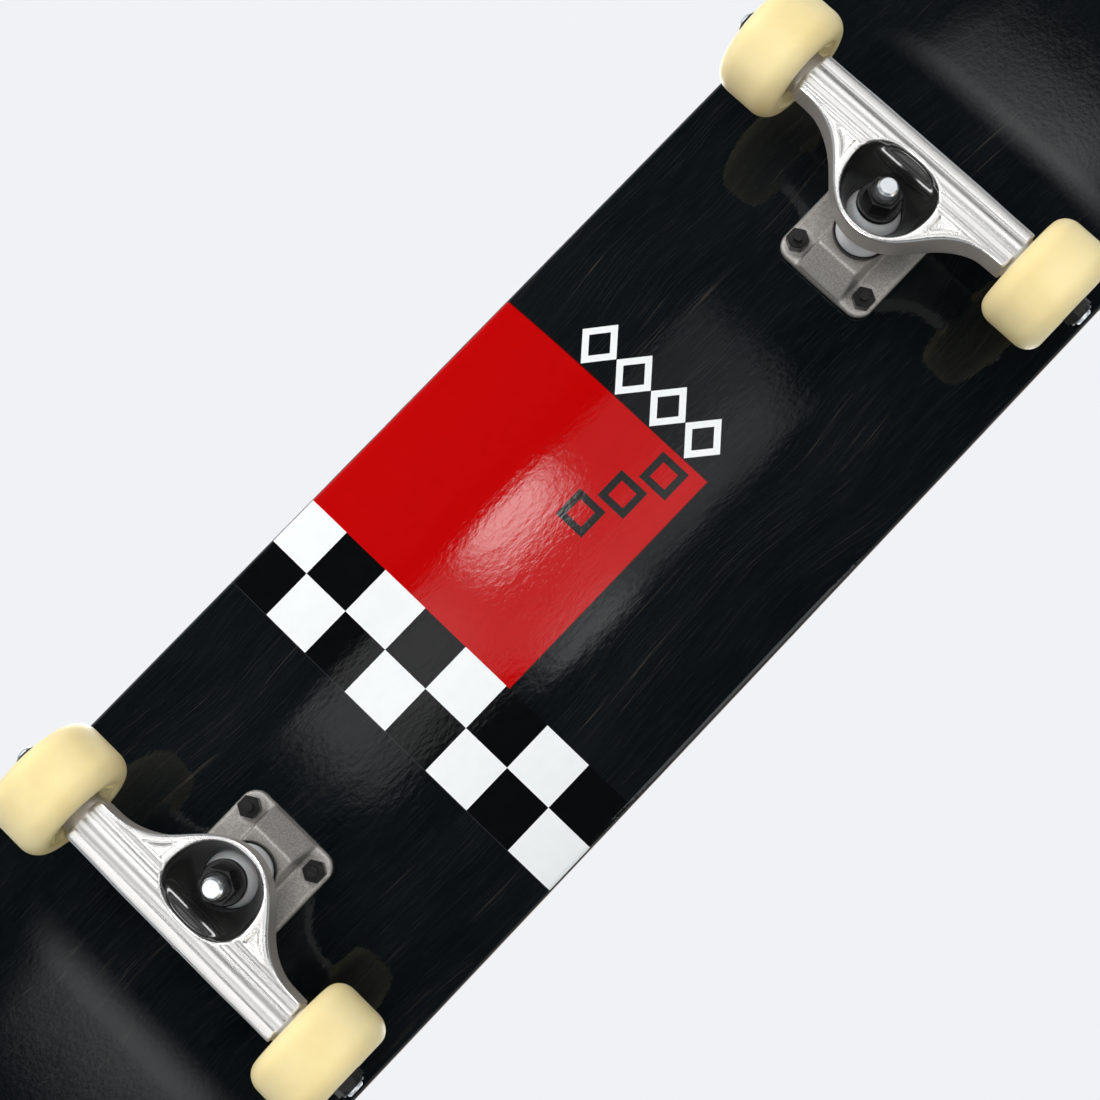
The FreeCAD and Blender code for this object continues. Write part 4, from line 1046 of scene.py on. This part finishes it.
def softbox(name, place, aim, size, watts, glossy=True, only=None):
    """A soft light that no camera sees. It can stay out of reflections, or reach one collection only."""
    data = bpy.data.lights.new(name, "AREA")
    data.shape = "RECTANGLE"
    data.size, data.size_y = size
    data.energy = watts
    light = new_object(name, data)
    light.location = place
    light.rotation_euler = (Vector(aim) - Vector(place)).to_track_quat("-Z", "X").to_euler()
    light.visible_camera = False
    light.visible_glossy = glossy
    light.light_linking.receiver_collection = only


def glow_panel(name, centre, half, spots):
    """A level panel that shines up in soft spots, to be mirrored in the deck's lacquer.

    Each spot has a place, half sizes, the width of its soft edge and a strength.
    """
    mesh = bpy.data.meshes.new(name)
    work = bmesh.new()
    bmesh.ops.create_grid(work, x_segments=8, y_segments=8, size=1.0)
    bmesh.ops.scale(work, verts=work.verts, vec=(half[0], half[1], 1.0))
    bmesh.ops.translate(work, verts=work.verts, vec=centre)
    work.to_mesh(mesh)
    work.free()
    glow = Finish(name)
    x, y, _ = glow.axes()
    total = None
    for (place_x, place_y), (half_x, half_y), edge, strength in spots:
        inside = glow.times(glow.rise(glow.distance(x, place_x), half_x + edge, half_x - edge),
                            glow.rise(glow.distance(y, place_y), half_y + edge, half_y - edge))
        part = glow.times(inside, strength)
        total = part if total is None else glow.plus(total, part)
    front = glow.minus(1.0, glow.node("NewGeometry", output="Backfacing"))
    emission = glow.node("Emission", {"Strength": glow.times(total, front)})
    output = next(n for n in glow.tree.nodes if n.type == "OUTPUT_MATERIAL")
    glow.tree.links.new(emission, output.inputs["Surface"])
    mesh.materials.append(glow.material)
    panel = new_object(name, mesh)
    panel.visible_camera = False
    panel.visible_shadow = False


def metal_collection():
    """The bare metal pieces, which have lights of their own so that the lacquer can stay dark."""
    metal = bpy.data.collections.new("metal")
    others = ("deck", "grip", "tyre", "wheel", "panel", "floor", "bushing")
    for made in list(bpy.data.objects):
        if made.type == "MESH" and not any(word in made.name for word in others):
            metal.objects.link(made)
    return metal


def build_lights():
    """Panels mirrored in the lacquer, soft fills from below and beside, and lights for the metal alone."""
    middle = (0.0, 0.0, 0.06)
    panel_height = -0.745
    glow_panel("broad_panel", (0.0, -0.1, panel_height), (0.42, 0.2), (
        ((0.055, -0.12), (0.275, 0.065), 0.02, 0.5),
        ((0.14, -0.035), (0.17, 0.04), 0.035, 1.0),
        ((-0.13, -0.13), (0.10, 0.05), 0.04, 1.0),
        ((0.055, -0.160), (0.05, 0.027), 0.032, 13.5),
        ((0.03, -0.01), (0.05, 0.03), 0.03, 1.7)))
    glow_panel("nose_panel", (2.0, 0.0, panel_height), (0.7, 0.7),
               (((2.0, 0.0), (0.35, 0.35), 0.34, 2.0),))
    glow_panel("tail_panel", (-1.30, -0.05, panel_height), (0.45, 0.5),
               (((-1.30, -0.05), (0.24, 0.27), 0.2, 1.9),))
    softbox("front_fill", (0.0, -0.1, -1.5), middle, (2.0, 2.0), watts=28, glossy=False)
    softbox("right_side", (0.0, -1.9, -0.95), middle, (1.8, 0.8), watts=29, glossy=False)
    softbox("left_side", (0.2, 1.9, -0.75), middle, (1.6, 0.5), watts=6)
    metal = metal_collection()
    softbox("metal_fill", (0.0, -0.2, -1.3), middle, (2.8, 2.8), watts=36, only=metal)
    softbox("metal_edge", (0.0, -0.95, -0.95), middle, (2.0, 0.3), watts=6, only=metal)
    # each hanger's bowl has a glint of its own, from a light below the other end of the board
    for end, sign in (("front", 1), ("rear", -1)):
        casting = bpy.data.collections.new(end + "_glint_receiver")
        casting.objects.link(bpy.data.objects[end + "_hanger_casting"])
        softbox(end + "_glint", (sign * -0.63, -0.11, -0.27), (sign * 0.22, 0, 0.03), (0.2, 0.35),
                watts=4.0, only=casting)
    softbox("overhead", (0.3, -0.4, 2.2), (0, 0, 0), (2.4, 1.8), watts=46)


def build_camera():
    """The view from below, a little towards the tail and the left, with the nose at the upper right."""
    data = bpy.data.cameras.new("view")
    data.lens = 58.69
    data.sensor_width = 36
    data.clip_start = 0.05
    camera = new_object("view", data)
    place = Vector((-76.146, 97.091, -735.921)) * MM
    turn = Euler([math.radians(angle) for angle in (-171.76805, -1.90166, 46.22717)])
    camera.matrix_world = Matrix.Translation(place) @ turn.to_matrix().to_4x4()
    bpy.context.scene.camera = camera


bpy.context.scene.view_settings.view_transform = "Standard"
dress_cad_nodes()
dress_deck()
dress_castings()
dress_bushings()
dress_wheels()
build_world()
build_floor()
build_lights()
build_camera()
